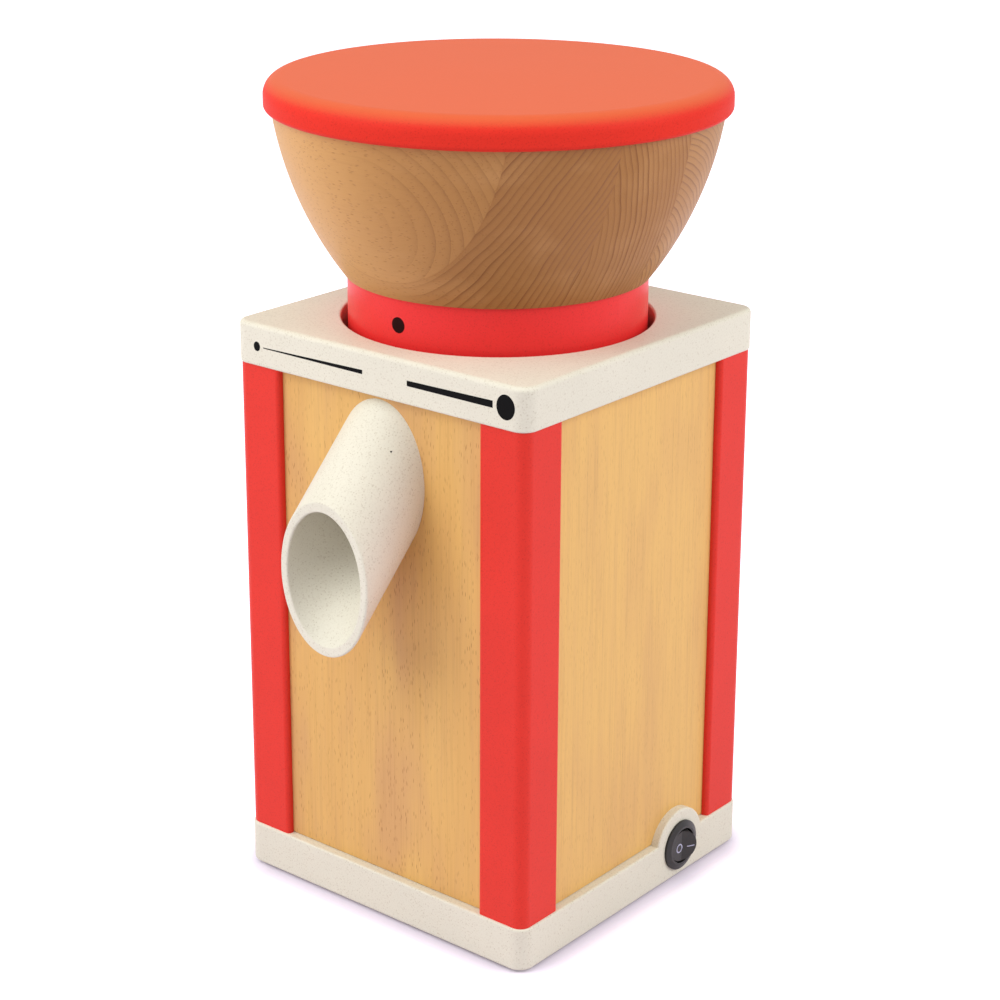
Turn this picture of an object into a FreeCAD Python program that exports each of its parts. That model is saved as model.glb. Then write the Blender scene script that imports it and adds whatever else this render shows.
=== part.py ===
import FreeCAD, Part
import math
import os
import re

import Sketcher

# Electric grain mill: a square case of four posts and four beech panels between a base
# and a top plate, a spout in front, and a hopper on a threaded collar that sets the gap
# between two millstones. A motor under the milling chamber turns the lower stone.
# Origin: the middle of the case on the surface it stands on. +Z up, spout towards -Y.

SIZES = {
    "plate_corner": 7,
    "foot_height": 1,
    "foot_radius": 10,
    "foot_plug_radius": 4,
    "base_thickness": 19.6,
    "base_floor": 6,
    "base_wall": 26,
    "base_edge": 1.6,
    "vent_length": 56,
    "vent_width": 4,
    "vent_pitch": 9,
    "vent_count": 7,
    "post_width": 24,
    "post_height": 217.2,
    "post_inset": 1,
    "post_corner": 5,
    "post_edge": 1,
    "post_side_round": 2,
    "panel_recess": 3,
    "panel_thickness": 9,
    "panel_edge": 0.5,
    "groove_depth": 5.2,
    "groove_play": 0.1,
    "plate_thickness": 18.6,
    "plate_edge": 2.2,
    "dowel_radius": 4,
    "dowel_sink": 12,
    "base_screw_radius": 2.5,
    "base_screw_head": 4.5,
    "base_screw_sink": 7,
    "base_screw_bite": 22,
    "screw_play": 0.1,
    "chamber_depth": 40.8,
    "chamber_floor": 5,
    "chamber_wall": 8,
    "chamber_flange": 5,
    "flange_width": 5,
    "flange_play": 2.2,
    "channel_play": 1.5,
    "thread_step": 2,
    "thread_play": 0.05,
    "thread_length": 12,
    "ear_land": 5.3,
    "ear_radius": 5,
    "ear_clearance": 0.28,
    "chamber_screw_radius": 2,
    "chamber_screw_head": 3.6,
    "chamber_screw_bite": 11,
    "port_width": 30,
    "port_height": 22,
    "port_wall": 3,
    "port_reach": 2,
    "shaft_radius": 6,
    "seal_radius": 9,
    "shaft_play": 0.05,
    "spindle_radius": 5,
    "sweeper_gap": 1.5,
    "sweeper_thickness": 3.1,
    "sweeper_lip": 1.5,
    "paddle_length": 8,
    "paddle_height": 7,
    "paddle_width": 3,
    "stone_radius": 42.5,
    "runner_thickness": 19.65,
    "upper_thickness": 20,
    "stone_gap": 0.75,
    "stone_eye": 14,
    "stone_seat": 6,
    "nut_recess": 12,
    "nut_flats": 16,
    "nut_height": 7,
    "furrow_width": 3,
    "furrow_depth": 1.5,
    "furrow_offset": 8,
    "furrow_count": 10,
    "carrier_play": 0.1,
    "carrier_reach": 10.3,
    "carrier_roof": 8,
    "seal_low": 0.5,
    "seal_height": 2.6,
    "seal_depth": 3,
    "seal_fit": 0.2,
    "collar_gap": 2.9,
    "collar_clearance": 4.2,
    "collar_height": 25.8,
    "collar_rim": 7.3,
    "collar_web": 7,
    "collar_hub": 26,
    "index_radius": 3.4,
    "index_depth": 4,
    "index_height": 26.7,
    "carrier_screw_bite": 5,
    "bowl_screw_circle": 21,
    "small_screw_radius": 2,
    "small_screw_head": 3.6,
    "small_screw_sink": 3,
    "bowl_overhang": 1.3,
    "bowl_rim_radius": 95.05,
    "bowl_height": 70.4,
    "bowl_floor": 8.2,
    "bowl_wall": 7,
    "bowl_curve": 2.03,
    "bowl_hollow_curve": 0.7,
    "feed_radius": 14,
    "feed_wall": 1.9,
    "feed_play": 0.1,
    "feed_flange": 20,
    "feed_flange_thickness": 1.5,
    "lid_overhang": 3.15,
    "lid_height": 13.3,
    "lid_dome": 0.5,
    "lid_round": 7.5,
    "lid_lower_round": 2,
    "lid_ceiling": 6.5,
    "lid_lip_height": 6,
    "lid_lip_width": 6,
    "lid_lip_play": 1.2,
    "spout_radius": 24,
    "spout_wall": 3.8,
    "spout_reach": 35.5,
    "spout_drop": 36.1,
    "spout_back": 5,
    "spout_rim_round": 0.8,
    "spout_screw_space": 24,
    "spout_screw_drop": 51.8,
    "motor_radius": 50,
    "motor_wall": 5,
    "shield_plate": 6,
    "upper_shield_height": 26,
    "lower_shield_height": 20,
    "stator_height": 40,
    "stator_bore": 30,
    "air_gap": 0.5,
    "rotor_short": 2,
    "winding_inner": 32,
    "winding_outer": 44,
    "winding_height": 8,
    "bearing_radius": 16,
    "bearing_height": 10,
    "bearing_lip": 4,
    "hub_wall": 4,
    "motor_screw_circle": 36,
    "motor_bolt_circle": 47.5,
    "motor_bolt_radius": 1.8,
    "fan_radius": 43,
    "fan_height": 11,
    "fan_hub": 11,
    "fan_gap": 3,
    "fan_blades": 7,
    "fan_blade": 2,
    "capacitor_radius": 17.5,
    "capacitor_length": 56,
    "capacitor_offset": 32,
    "clip_thickness": 1.5,
    "clip_width": 10,
    "terminal_width": 18,
    "terminal_length": 44,
    "terminal_height": 15,
    "terminal_offset": 22,
    "gland_height": 12.8,
    "gland_bore": 3.6,
    "gland_radius": 5.5,
    "gland_flange": 7.4,
    "gland_flange_thickness": 2,
    "gland_snap": 5.7,
    "gland_snap_length": 2,
    "switch_offset": 32.6,
    "switch_height": 16,
    "boss_radius": 17,
    "boss_edge": 0.9,
    "switch_radius": 9.9,
    "switch_depth": 18,
    "switch_play": 0.1,
    "bezel_radius": 11.5,
    "bezel_proud": 2,
    "bezel_rim": 1,
    "bezel_land": 1,
    "bezel_bore": 8.1,
    "bezel_lip": 1.5,
    "rocker_room": 8.45,
    "rocker_pocket": 11,
    "rocker_radius": 7.15,
    "rocker_waist": 7.8,
    "rocker_back": 3,
    "rocker_half_angle": 14,
    "rocker_valley": 2.5,
    "rocker_sink": 0.3,
    "pivot_radius": 1.2,
    "pivot_length": 1.1,
    "pivot_play": 0.05,
    "tab_width": 4.8,
    "tab_length": 8,
    "tab_thickness": 0.8,
    "tab_space": 8,
}

# Radii of the mill, from the stones outwards to the plate's opening, the collar and the ears
PADDLE_REACH = "(stone_radius + paddle_length)"
CHANNEL = f"({PADDLE_REACH} + channel_play)"
THREAD = f"({CHANNEL} + thread_step)"
CHAMBER = f"({CHANNEL} + chamber_wall)"
FLANGE = f"({CHAMBER} + flange_width)"
PORT_FACE = f"({CHAMBER} + port_reach)"
PLATE_BORE = f"({FLANGE} + flange_play)"
COLLAR = f"({PLATE_BORE} - collar_gap)"
BOWL_FOOT = f"({COLLAR} + bowl_overhang)"
EAR_CIRCLE = f"({PLATE_BORE} + ear_land)"
CARRIER_SCREWS = f"((stone_radius + carrier_play + {THREAD}) / 2)"
LID = "(bowl_rim_radius + lid_overhang)"

# The case: the chamber's ears reach into its corners, up to the posts
POST_IN = f"(({EAR_CIRCLE} + ear_radius + ear_clearance) * sqrt(0.5))"
POST_OUT = f"({POST_IN} + post_width)"
POST_MID = f"({POST_IN} + post_width / 2)"
HALF = f"({POST_OUT} + post_inset)"
CAVITY = f"({HALF} - base_wall)"

# Levels and planes
BASE_TOP = "(foot_height + base_thickness)"
BASE_DECK = "(foot_height + base_floor)"
DECK = f"({BASE_TOP} + post_height)"
PLATE_TOP = f"({DECK} + plate_thickness)"
PANEL_OUT = f"({POST_OUT} - panel_recess)"
PANEL_IN = f"({PANEL_OUT} - panel_thickness)"
CHAMBER_DECK = f"({DECK} - chamber_depth)"
CHAMBER_FOOT = f"({CHAMBER_DECK} - chamber_floor)"
THREAD_FOOT = f"({DECK} - thread_length)"
SWEEPER_FOOT = f"({CHAMBER_DECK} + sweeper_gap)"
RUNNER_FOOT = f"({SWEEPER_FOOT} + sweeper_thickness)"
RUNNER_TOP = f"({RUNNER_FOOT} + runner_thickness)"
UPPER_FACE = f"({RUNNER_TOP} + stone_gap)"
UPPER_TOP = f"({UPPER_FACE} + upper_thickness)"
CARRIER_FOOT = f"({DECK} - carrier_reach)"
CARRIER_TOP = f"({UPPER_TOP} + carrier_roof)"
COLLAR_FOOT = f"({DECK} + collar_clearance)"
COLLAR_TOP = f"({CARRIER_TOP} + collar_height)"
BOWL_DECK = f"({COLLAR_TOP} + bowl_floor)"
BOWL_TOP = f"({COLLAR_TOP} + bowl_height)"
LID_TOP = f"({BOWL_TOP} + lid_height)"
FEED_OUTER = "(feed_radius + feed_wall)"
FEED_HOLE = "(feed_radius + feed_wall + feed_play)"
STATOR_TOP = f"({CHAMBER_FOOT} - upper_shield_height)"
STATOR_FOOT = f"({STATOR_TOP} - stator_height)"
MOTOR_FOOT = f"({STATOR_FOOT} - lower_shield_height)"
FAN_TOP = f"({MOTOR_FOOT} - fan_gap)"
FAN_FOOT = f"({FAN_TOP} - fan_height)"
SPINDLE_TOP = f"({RUNNER_FOOT} + stone_seat + nut_height)"
SPOUT_MIDDLE = f"({DECK} - spout_drop)"
SPOUT_FRONT = f"({PANEL_OUT} + spout_reach)"
PORT_FOOT = CHAMBER_DECK
PORT_TOP = f"({CHAMBER_DECK} + port_height)"

doc = FreeCAD.newDocument("grain_mill")
sheet = doc.addObject("Spreadsheet::Sheet", "dims")
PIECES = []


def fill_sheet():
    """Write every driving size into the sheet under its own alias."""
    for row, (alias, number) in enumerate(SIZES.items(), start=1):
        sheet.set(f"A{row}", alias)
        sheet.set(f"B{row}", str(number))
        sheet.setAlias(f"B{row}", alias)
    doc.recompute()


def linked(expression):
    """An expression with each size name pointed at the sheet."""
    return re.sub(r"[a-z]+(_[a-z]+)+", lambda word: "dims." + word.group(), str(expression))


def number(expression):
    """The present value of an expression."""
    result = sheet.evalExpression(linked(expression))
    return float(getattr(result, "Value", result))


def bind(item, **properties):
    """Bind properties of an object to expressions of the sheet."""
    for name, expression in properties.items():
        item.setExpression(name, linked(expression))


def place(item, **axes):
    """Bind the position of an object to the sheet: x, y, z."""
    for axis, expression in axes.items():
        item.setExpression(f"Placement.Base.{axis}", linked(expression))


def body(label):
    """A new body that becomes one node."""
    piece = doc.addObject("PartDesign::Body", label)
    piece.Label = label
    piece.AllowCompound = True
    PIECES.append(piece)
    return piece


def kept(item, label):
    """Mark a primitive or boolean as one node."""
    item.Label = label
    PIECES.append(item)
    return item


def origin_part(piece, role):
    """One of a body's own origin planes or axes."""
    return next(part for part in piece.Origin.OriginFeatures if part.Role == role)


def sketch_on(piece, role, lift="0", turn=0):
    """An empty sketch on an origin plane, moved along the plane's normal."""
    sketch = piece.newObject("Sketcher::SketchObject", "outline")
    sketch.AttachmentSupport = [(origin_part(piece, role), "")]
    sketch.MapMode = "FlatFace"
    spin = FreeCAD.Rotation(FreeCAD.Vector(0, 0, 1), turn)
    sketch.AttachmentOffset = FreeCAD.Placement(FreeCAD.Vector(), spin)
    sketch.setExpression("AttachmentOffset.Base.z", linked(lift))
    return sketch


def arc_between(start, end, ratio):
    """An arc whose radius is ratio times its chord, bulging to the right of its run."""
    chord = math.dist(start, end)
    radius = abs(ratio) * chord
    middle = ((start[0] + end[0]) / 2, (start[1] + end[1]) / 2)
    across = ((end[1] - start[1]) / chord, (start[0] - end[0]) / chord)
    side = math.copysign(math.sqrt(max(radius ** 2 - chord ** 2 / 4, 0)), ratio)
    centre = (middle[0] - across[0] * side, middle[1] - across[1] * side)
    circle = Part.Circle(FreeCAD.Vector(*centre, 0), FreeCAD.Vector(0, 0, 1), radius)
    first = math.atan2(start[1] - centre[1], start[0] - centre[0])
    last = math.atan2(end[1] - centre[1], end[0] - centre[0])
    if ratio > 0:
        return Part.ArcOfCircle(circle, first, last), 1
    return Part.ArcOfCircle(circle, last, first), 2


def outline(sketch, points, arcs=None):
    """A closed outline through points of expressions.

    arcs gives an edge the name of its radius in chords, and the side it bulges to."""
    arcs = arcs or {}
    spots = [(number(x), number(y)) for x, y in points]
    starts = []
    for index, spot in enumerate(spots):
        following = spots[(index + 1) % len(spots)]
        if index in arcs:
            ratio, side = arcs[index]
            curve, start = arc_between(spot, following, side * number(ratio))
        else:
            curve = Part.LineSegment(FreeCAD.Vector(*spot, 0), FreeCAD.Vector(*following, 0))
            start = 1
        sketch.addGeometry(curve, False)
        starts.append(start)
    for index, (x, y) in enumerate(points):
        after = (index + 1) % len(points)
        end = 3 - starts[index]
        sketch.addConstraint(
            Sketcher.Constraint("Coincident", index, end, after, starts[after])
        )
        for kind, expression in (("DistanceX", x), ("DistanceY", y)):
            row = sketch.addConstraint(
                Sketcher.Constraint(kind, -1, 1, index, starts[index], number(expression))
            )
            sketch.setExpression(f"Constraints[{row}]", linked(expression))
        if index in arcs:
            x_next, y_next = points[after]
            radius = f"{arcs[index][0]} * sqrt(({x_next} - {x}) ^ 2 + ({y_next} - {y}) ^ 2)"
            row = sketch.addConstraint(Sketcher.Constraint("Radius", index, number(radius)))
            sketch.setExpression(f"Constraints[{row}]", linked(radius))
    return sketch


def circles(sketch, spots, radius):
    """Circles of one radius on spots of expressions."""
    for index, (x, y) in enumerate(spots):
        centre = FreeCAD.Vector(number(x), number(y), 0)
        sketch.addGeometry(Part.Circle(centre, FreeCAD.Vector(0, 0, 1), number(radius)), False)
        for kind, expression in (("DistanceX", x), ("DistanceY", y)):
            row = sketch.addConstraint(
                Sketcher.Constraint(kind, -1, 1, index, 3, number(expression))
            )
            sketch.setExpression(f"Constraints[{row}]", linked(expression))
        row = sketch.addConstraint(Sketcher.Constraint("Radius", index, number(radius)))
        sketch.setExpression(f"Constraints[{row}]", linked(radius))
    return sketch


def rectangle(sketch, low_x, high_x, low_y, high_y):
    """A rectangle between expressions."""
    corners = [(low_x, low_y), (high_x, low_y), (high_x, high_y), (low_x, high_y)]
    return outline(sketch, corners)


def feature(piece, kind, sketch, **expressions):
    """A feature of a body on a sketch, with its lengths bound to the sheet."""
    made = piece.newObject(f"PartDesign::{kind}", kind.lower())
    made.Profile = sketch
    bind(made, **expressions)
    return made


def pad(piece, sketch, length, backwards=False):
    """Material along the sketch's normal."""
    made = feature(piece, "Pad", sketch, Length=length)
    made.Reversed = backwards
    return made


def pocket(piece, sketch, depth, forwards=False):
    """A cut against the sketch's normal, or along it."""
    made = feature(piece, "Pocket", sketch, Length=depth)
    made.Reversed = forwards
    return made


def turned(piece, points, arcs=None, kind="Revolution", role="XZ_Plane"):
    """Material, or with Groove a cut, turned about the body's upright axis."""
    sketch = outline(sketch_on(piece, role), points, arcs)
    made = piece.newObject(f"PartDesign::{kind}", kind.lower())
    made.Profile = sketch
    made.ReferenceAxis = (sketch, ["V_Axis"])
    made.Angle = 360
    return made


def ring(piece, inner, outer, low, high, kind="Revolution"):
    """A turned ring of rectangular section."""
    return turned(piece, [(inner, low), (outer, low), (outer, high), (inner, high)], kind=kind)


def around(piece, originals, count):
    """Repeat features round the body's upright axis."""
    pattern = piece.newObject("PartDesign::PolarPattern", "pattern")
    pattern.Originals = originals
    pattern.Axis = (origin_part(piece, "Z_Axis"), [""])
    pattern.Angle = 360
    if isinstance(count, str):
        bind(pattern, Occurrences=count)
    else:
        pattern.Occurrences = count
    piece.Tip = pattern
    return pattern


def edge_names(shape, wanted):
    """Names of the edges that pass a test."""
    return [f"Edge{i}" for i, edge in enumerate(shape.Edges, start=1) if wanted(edge)]


def rounded(piece, wanted, size, kind="Fillet"):
    """Round or chamfer the edges of a body that pass a test."""
    doc.recompute()
    before = piece.Tip
    made = piece.newObject(f"PartDesign::{kind}", kind.lower())
    made.Base = (before, edge_names(before.Shape, wanted))
    bind(made, **{"Radius" if kind == "Fillet" else "Size": size})
    return made


def upright(edge):
    """True for a straight edge along Z."""
    box = edge.BoundBox
    return box.ZLength > 1 and box.XLength < 0.01 and box.YLength < 0.01


def level(edge, height):
    """True for an edge that lies flat at a height."""
    box = edge.BoundBox
    return box.ZLength < 0.01 and abs(box.ZMin - height) < 0.01


def quad(distance):
    """The four corners of a square about the middle."""
    return [(f"{a} * {distance}", f"{b} * {distance}") for a in (1, -1) for b in (1, -1)]


def compass(radius, turn=0):
    """Four spots on a circle about the middle."""
    spots = []
    for step in range(4):
        angle = turn + 90 * step
        spots.append((f"{radius} * cos({angle} deg)", f"{radius} * sin({angle} deg)"))
    return spots


def screws(label, spots, head_plane, tip_plane, shank, head, head_height, upwards):
    """Upright screws in one node, heads at one plane and tips at the other."""
    piece = body(label)
    shanks = circles(sketch_on(piece, "XY_Plane", head_plane), spots, shank)
    length = f"{tip_plane} - {head_plane}" if upwards else f"{head_plane} - {tip_plane}"
    pad(piece, shanks, length, backwards=not upwards)
    heads = circles(sketch_on(piece, "XY_Plane", head_plane), spots, head)
    pad(piece, heads, head_height, backwards=upwards)
    return piece


def cylinder(radius, height, **axes):
    """A plain upright cylinder primitive."""
    item = doc.addObject("Part::Cylinder", "round")
    bind(item, Radius=radius, Height=height)
    place(item, **axes)
    return item


def block(low_x, high_x, low_y, high_y, low_z, high_z):
    """A box primitive between expressions."""
    item = doc.addObject("Part::Box", "block")
    spans = {"Length": (low_x, high_x), "Width": (low_y, high_y), "Height": (low_z, high_z)}
    for name, (low, high) in spans.items():
        item.setExpression(name, linked(f"({high}) - ({low})"))
    place(item, x=low_x, y=low_y, z=low_z)
    return item


def joined(kind, first, second):
    """A Part boolean of two objects: Fuse, Cut or Common."""
    item = doc.addObject(f"Part::{kind}", kind.lower())
    item.Base = first
    item.Tool = second
    return item


def lying(item, axis, angle):
    """Turn an object about an axis of its own origin, keeping its bound position."""
    item.Placement.Rotation = FreeCAD.Rotation(FreeCAD.Vector(*axis), angle)
    return item


def square_plate(piece, low, thickness, lower_edge, upper_edge):
    """A square plate with rounded corners and edges."""
    sketch = sketch_on(piece, "XY_Plane", low)
    rectangle(sketch, f"-{HALF}", HALF, f"-{HALF}", HALF)
    pad(piece, sketch, thickness)
    rounded(piece, upright, "plate_corner")
    floor = number(low)
    roof = floor + number(thickness)
    rounded(piece, lambda edge: level(edge, floor), lower_edge)
    rounded(piece, lambda edge: level(edge, roof), upper_edge)


def make_base():
    """Base: a tray with vent slots, the switch boss and holes for gland, switch and screws."""
    piece = body("base")
    square_plate(piece, "foot_height", "base_thickness", "base_edge", "post_edge")

    boss = sketch_on(piece, "YZ_Plane", PANEL_OUT)
    left = "(switch_offset - boss_radius)"
    right = "(switch_offset + boss_radius)"
    under = "(switch_height - boss_radius / 2)"
    quarter = ("sqrt(0.5)", 1)
    outline(
        boss,
        [
            (left, under),
            (right, under),
            (right, "switch_height"),
            ("switch_offset", "switch_height + boss_radius"),
            (left, "switch_height"),
        ],
        {2: quarter, 3: quarter},
    )
    pad(piece, boss, f"{HALF} - {PANEL_OUT}")
    face = number(HALF)
    arch = number("boss_radius")

    def arch_edge(edge):
        box = edge.BoundBox
        on_face = abs(box.XMin - face) < 0.01 and box.XLength < 0.01
        return on_face and hasattr(edge.Curve, "Radius") and abs(edge.Curve.Radius - arch) < 0.01

    rounded(piece, arch_edge, "boss_edge")

    cavity = sketch_on(piece, "XY_Plane", BASE_TOP)
    rectangle(cavity, f"-{CAVITY}", CAVITY, f"-{CAVITY}", CAVITY)
    pocket(piece, cavity, "base_thickness - base_floor")

    slot = sketch_on(piece, "XY_Plane", BASE_DECK)
    first = "(vent_pitch * (vent_count - 1) / 2)"
    half = "(vent_length / 2)"
    rectangle(slot, f"-{half}", half, f"-{first} - vent_width / 2", f"-{first} + vent_width / 2")
    cut = pocket(piece, slot, "base_floor")
    row = piece.newObject("PartDesign::LinearPattern", "vents")
    row.Originals = [cut]
    row.Direction = (origin_part(piece, "Y_Axis"), [""])
    bind(row, Length="vent_pitch * (vent_count - 1)", Occurrences="vent_count")
    piece.Tip = row

    hole = sketch_on(piece, "YZ_Plane", HALF)
    circles(hole, [("switch_offset", "switch_height")], "switch_radius + switch_play")
    pocket(piece, hole, "base_wall")

    gland = sketch_on(piece, "XZ_Plane", f"-{HALF}")
    circles(gland, [("0", "gland_height")], "gland_radius")
    pocket(piece, gland, "base_wall", forwards=True)

    bores = sketch_on(piece, "XY_Plane", BASE_TOP)
    circles(bores, quad(POST_MID), "base_screw_radius + screw_play")
    pocket(piece, bores, "base_thickness")
    sinks = sketch_on(piece, "XY_Plane", "foot_height")
    circles(sinks, quad(POST_MID), "base_screw_head + screw_play")
    pocket(piece, sinks, "base_screw_sink", forwards=True)


def make_feet():
    """Rubber feet that cover the base screws."""
    piece = body("rubber_feet")
    pads = circles(sketch_on(piece, "XY_Plane"), quad(POST_MID), "foot_radius")
    pad(piece, pads, "foot_height")
    plugs = circles(sketch_on(piece, "XY_Plane", "foot_height"), quad(POST_MID), "foot_plug_radius")
    pad(piece, plugs, "base_screw_sink - base_screw_head")


def make_base_screws():
    """Screws from the base up into the posts."""
    top = "(foot_height + base_screw_sink)"
    tip = f"({BASE_TOP} + base_screw_bite)"
    screws(
        "base_screws", quad(POST_MID), top, tip,
        "base_screw_radius", "base_screw_head", "base_screw_head", upwards=True,
    )


def make_post(label, turn):
    """Corner post with a groove for each of its two panels."""
    piece = body(label)
    groove_in = f"({PANEL_IN} - groove_play)"
    groove_out = f"({PANEL_OUT} + groove_play)"
    depth = f"({POST_IN} + groove_depth)"
    section = sketch_on(piece, "XY_Plane", BASE_TOP)
    outline(
        section,
        [
            (POST_IN, POST_IN),
            (groove_in, POST_IN),
            (groove_in, depth),
            (groove_out, depth),
            (groove_out, POST_IN),
            (POST_OUT, POST_IN),
            (POST_OUT, POST_OUT),
            (POST_IN, POST_OUT),
            (POST_IN, groove_out),
            (depth, groove_out),
            (depth, groove_in),
            (POST_IN, groove_in),
        ],
    )
    pad(piece, section, "post_height")
    outer = number(POST_OUT)
    inner = number(POST_IN)

    def at(edge, x, y):
        spot = edge.CenterOfMass
        return upright(edge) and abs(spot.x - x) < 0.01 and abs(spot.y - y) < 0.01

    rounded(piece, lambda edge: at(edge, outer, outer), "post_corner")
    rounded(piece, lambda edge: at(edge, outer, inner) or at(edge, inner, outer), "post_side_round")
    dowel = circles(sketch_on(piece, "XY_Plane", DECK), [(POST_MID, POST_MID)], "dowel_radius")
    pocket(piece, dowel, "dowel_sink")
    bore = circles(sketch_on(piece, "XY_Plane", BASE_TOP), [(POST_MID, POST_MID)], "base_screw_radius")
    pocket(piece, bore, "base_screw_bite", forwards=True)
    piece.Placement.Rotation = FreeCAD.Rotation(FreeCAD.Vector(0, 0, 1), turn)


def make_panel(label, turn):
    """Beech panel held in the grooves of two posts; drawn at the front, then turned."""
    piece = body(label)
    half = f"({POST_IN} + groove_depth - groove_play)"
    sheet_sketch = sketch_on(piece, "XZ_Plane", PANEL_IN)
    rectangle(sheet_sketch, f"-{half}", half, BASE_TOP, DECK)
    pad(piece, sheet_sketch, "panel_thickness")
    face = number(PANEL_OUT)

    def eased(edge):
        box = edge.BoundBox
        return abs(box.YMin + face) < 0.01 and box.YLength < 0.01 and box.ZLength < 0.01

    rounded(piece, eased, "panel_edge", kind="Chamfer")
    if label == "front_panel":
        hole = sketch_on(piece, "XZ_Plane", PANEL_OUT)
        side = "(port_width / 2 + port_wall + screw_play)"
        low = f"({PORT_FOOT} - port_wall - screw_play)"
        high = f"({PORT_TOP} + port_wall + screw_play)"
        rectangle(hole, f"-{side}", side, low, high)
        pocket(piece, hole, "panel_thickness")
        bores = sketch_on(piece, "XZ_Plane", PANEL_OUT)
        circles(bores, spout_screw_spots(), "small_screw_radius + screw_play")
        pocket(piece, bores, "panel_thickness")
    if label == "right_panel":
        notch = sketch_on(piece, "XZ_Plane", PANEL_OUT)
        circles(notch, [("switch_offset", "switch_height")], "switch_radius + 3 * switch_play")
        pocket(piece, notch, "panel_thickness")
    piece.Placement.Rotation = FreeCAD.Rotation(FreeCAD.Vector(0, 0, 1), turn)


def make_top_plate():
    """Top plate with the round opening for the collar."""
    piece = body("top_plate")
    square_plate(piece, DECK, "plate_thickness", "post_edge", "plate_edge")
    opening = circles(sketch_on(piece, "XY_Plane", PLATE_TOP), [("0", "0")], PLATE_BORE)
    pocket(piece, opening, "plate_thickness")
    roof = number(PLATE_TOP)
    bore = number(PLATE_BORE)

    def opening_edge(edge):
        curve = edge.Curve
        return level(edge, roof) and hasattr(curve, "Radius") and abs(curve.Radius - bore) < 0.01

    rounded(piece, opening_edge, "post_edge")
    dowels = circles(sketch_on(piece, "XY_Plane", DECK), quad(POST_MID), "dowel_radius")
    pocket(piece, dowels, "dowel_sink", forwards=True)
    bores = circles(
        sketch_on(piece, "XY_Plane", DECK), compass(EAR_CIRCLE, 45), "chamber_screw_radius"
    )
    pocket(piece, bores, "chamber_screw_bite", forwards=True)


def make_dowels():
    """Wooden dowels between the posts and the top plate."""
    piece = body("top_dowels")
    pins = sketch_on(piece, "XY_Plane", f"{DECK} - dowel_sink")
    circles(pins, quad(POST_MID), "dowel_radius")
    pad(piece, pins, "2 * dowel_sink")


def make_chamber():
    """Milling chamber: threaded bore above, flour channel and outlet port below."""
    piece = body("milling_chamber")
    under_flange = f"({DECK} - chamber_flange)"
    turned(
        piece,
        [
            ("0", CHAMBER_FOOT),
            (CHAMBER, CHAMBER_FOOT),
            (CHAMBER, under_flange),
            (FLANGE, under_flange),
            (FLANGE, DECK),
            ("0", DECK),
        ],
    )
    arm = sketch_on(piece, "XY_Plane", under_flange, turn=45)
    rectangle(arm, CHAMBER, EAR_CIRCLE, "-ear_radius", "ear_radius")
    arm_pad = pad(piece, arm, "chamber_flange")
    tip = circles(sketch_on(piece, "XY_Plane", under_flange, turn=45), [(EAR_CIRCLE, "0")], "ear_radius")
    tip_pad = pad(piece, tip, "chamber_flange")
    around(piece, [arm_pad, tip_pad], 4)

    boss = sketch_on(piece, "XZ_Plane", PORT_FACE)
    side = "(port_width / 2 + port_wall)"
    rectangle(boss, f"-{side}", side, f"{PORT_FOOT} - port_wall", f"{PORT_TOP} + port_wall")
    pad(piece, boss, f"{PORT_FACE} - {CHANNEL} / 2", backwards=True)
    turned(
        piece,
        [
            ("0", CHAMBER_DECK),
            (CHANNEL, CHAMBER_DECK),
            (CHANNEL, THREAD_FOOT),
            (f"{THREAD} + thread_play", THREAD_FOOT),
            (f"{THREAD} + thread_play", DECK),
            ("0", DECK),
        ],
        kind="Groove",
    )
    port = sketch_on(piece, "XZ_Plane", PORT_FACE)
    rectangle(port, "-port_width / 2", "port_width / 2", PORT_FOOT, PORT_TOP)
    pocket(piece, port, f"{PORT_FACE} - {CHANNEL} + port_width / 4")

    shaft_hole = circles(sketch_on(piece, "XY_Plane", CHAMBER_DECK), [("0", "0")], "seal_radius")
    pocket(piece, shaft_hole, "chamber_floor")
    ears = sketch_on(piece, "XY_Plane", DECK)
    circles(ears, compass(EAR_CIRCLE, 45), "chamber_screw_radius + screw_play")
    pocket(piece, ears, "chamber_flange")
    bores = sketch_on(piece, "XY_Plane", CHAMBER_DECK)
    circles(bores, compass("motor_screw_circle", 45), "small_screw_radius + screw_play")
    pocket(piece, bores, "chamber_floor")
    sinks = sketch_on(piece, "XY_Plane", CHAMBER_DECK)
    circles(sinks, compass("motor_screw_circle", 45), "small_screw_head + screw_play")
    pocket(piece, sinks, "small_screw_sink")


def make_chamber_screws():
    """Screws through the chamber's ears up into the top plate."""
    head = f"({DECK} - chamber_flange)"
    tip = f"({DECK} + chamber_screw_bite)"
    screws(
        "chamber_screws", compass(EAR_CIRCLE, 45), head, tip,
        "chamber_screw_radius", "chamber_screw_head", "small_screw_sink", upwards=True,
    )


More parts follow.
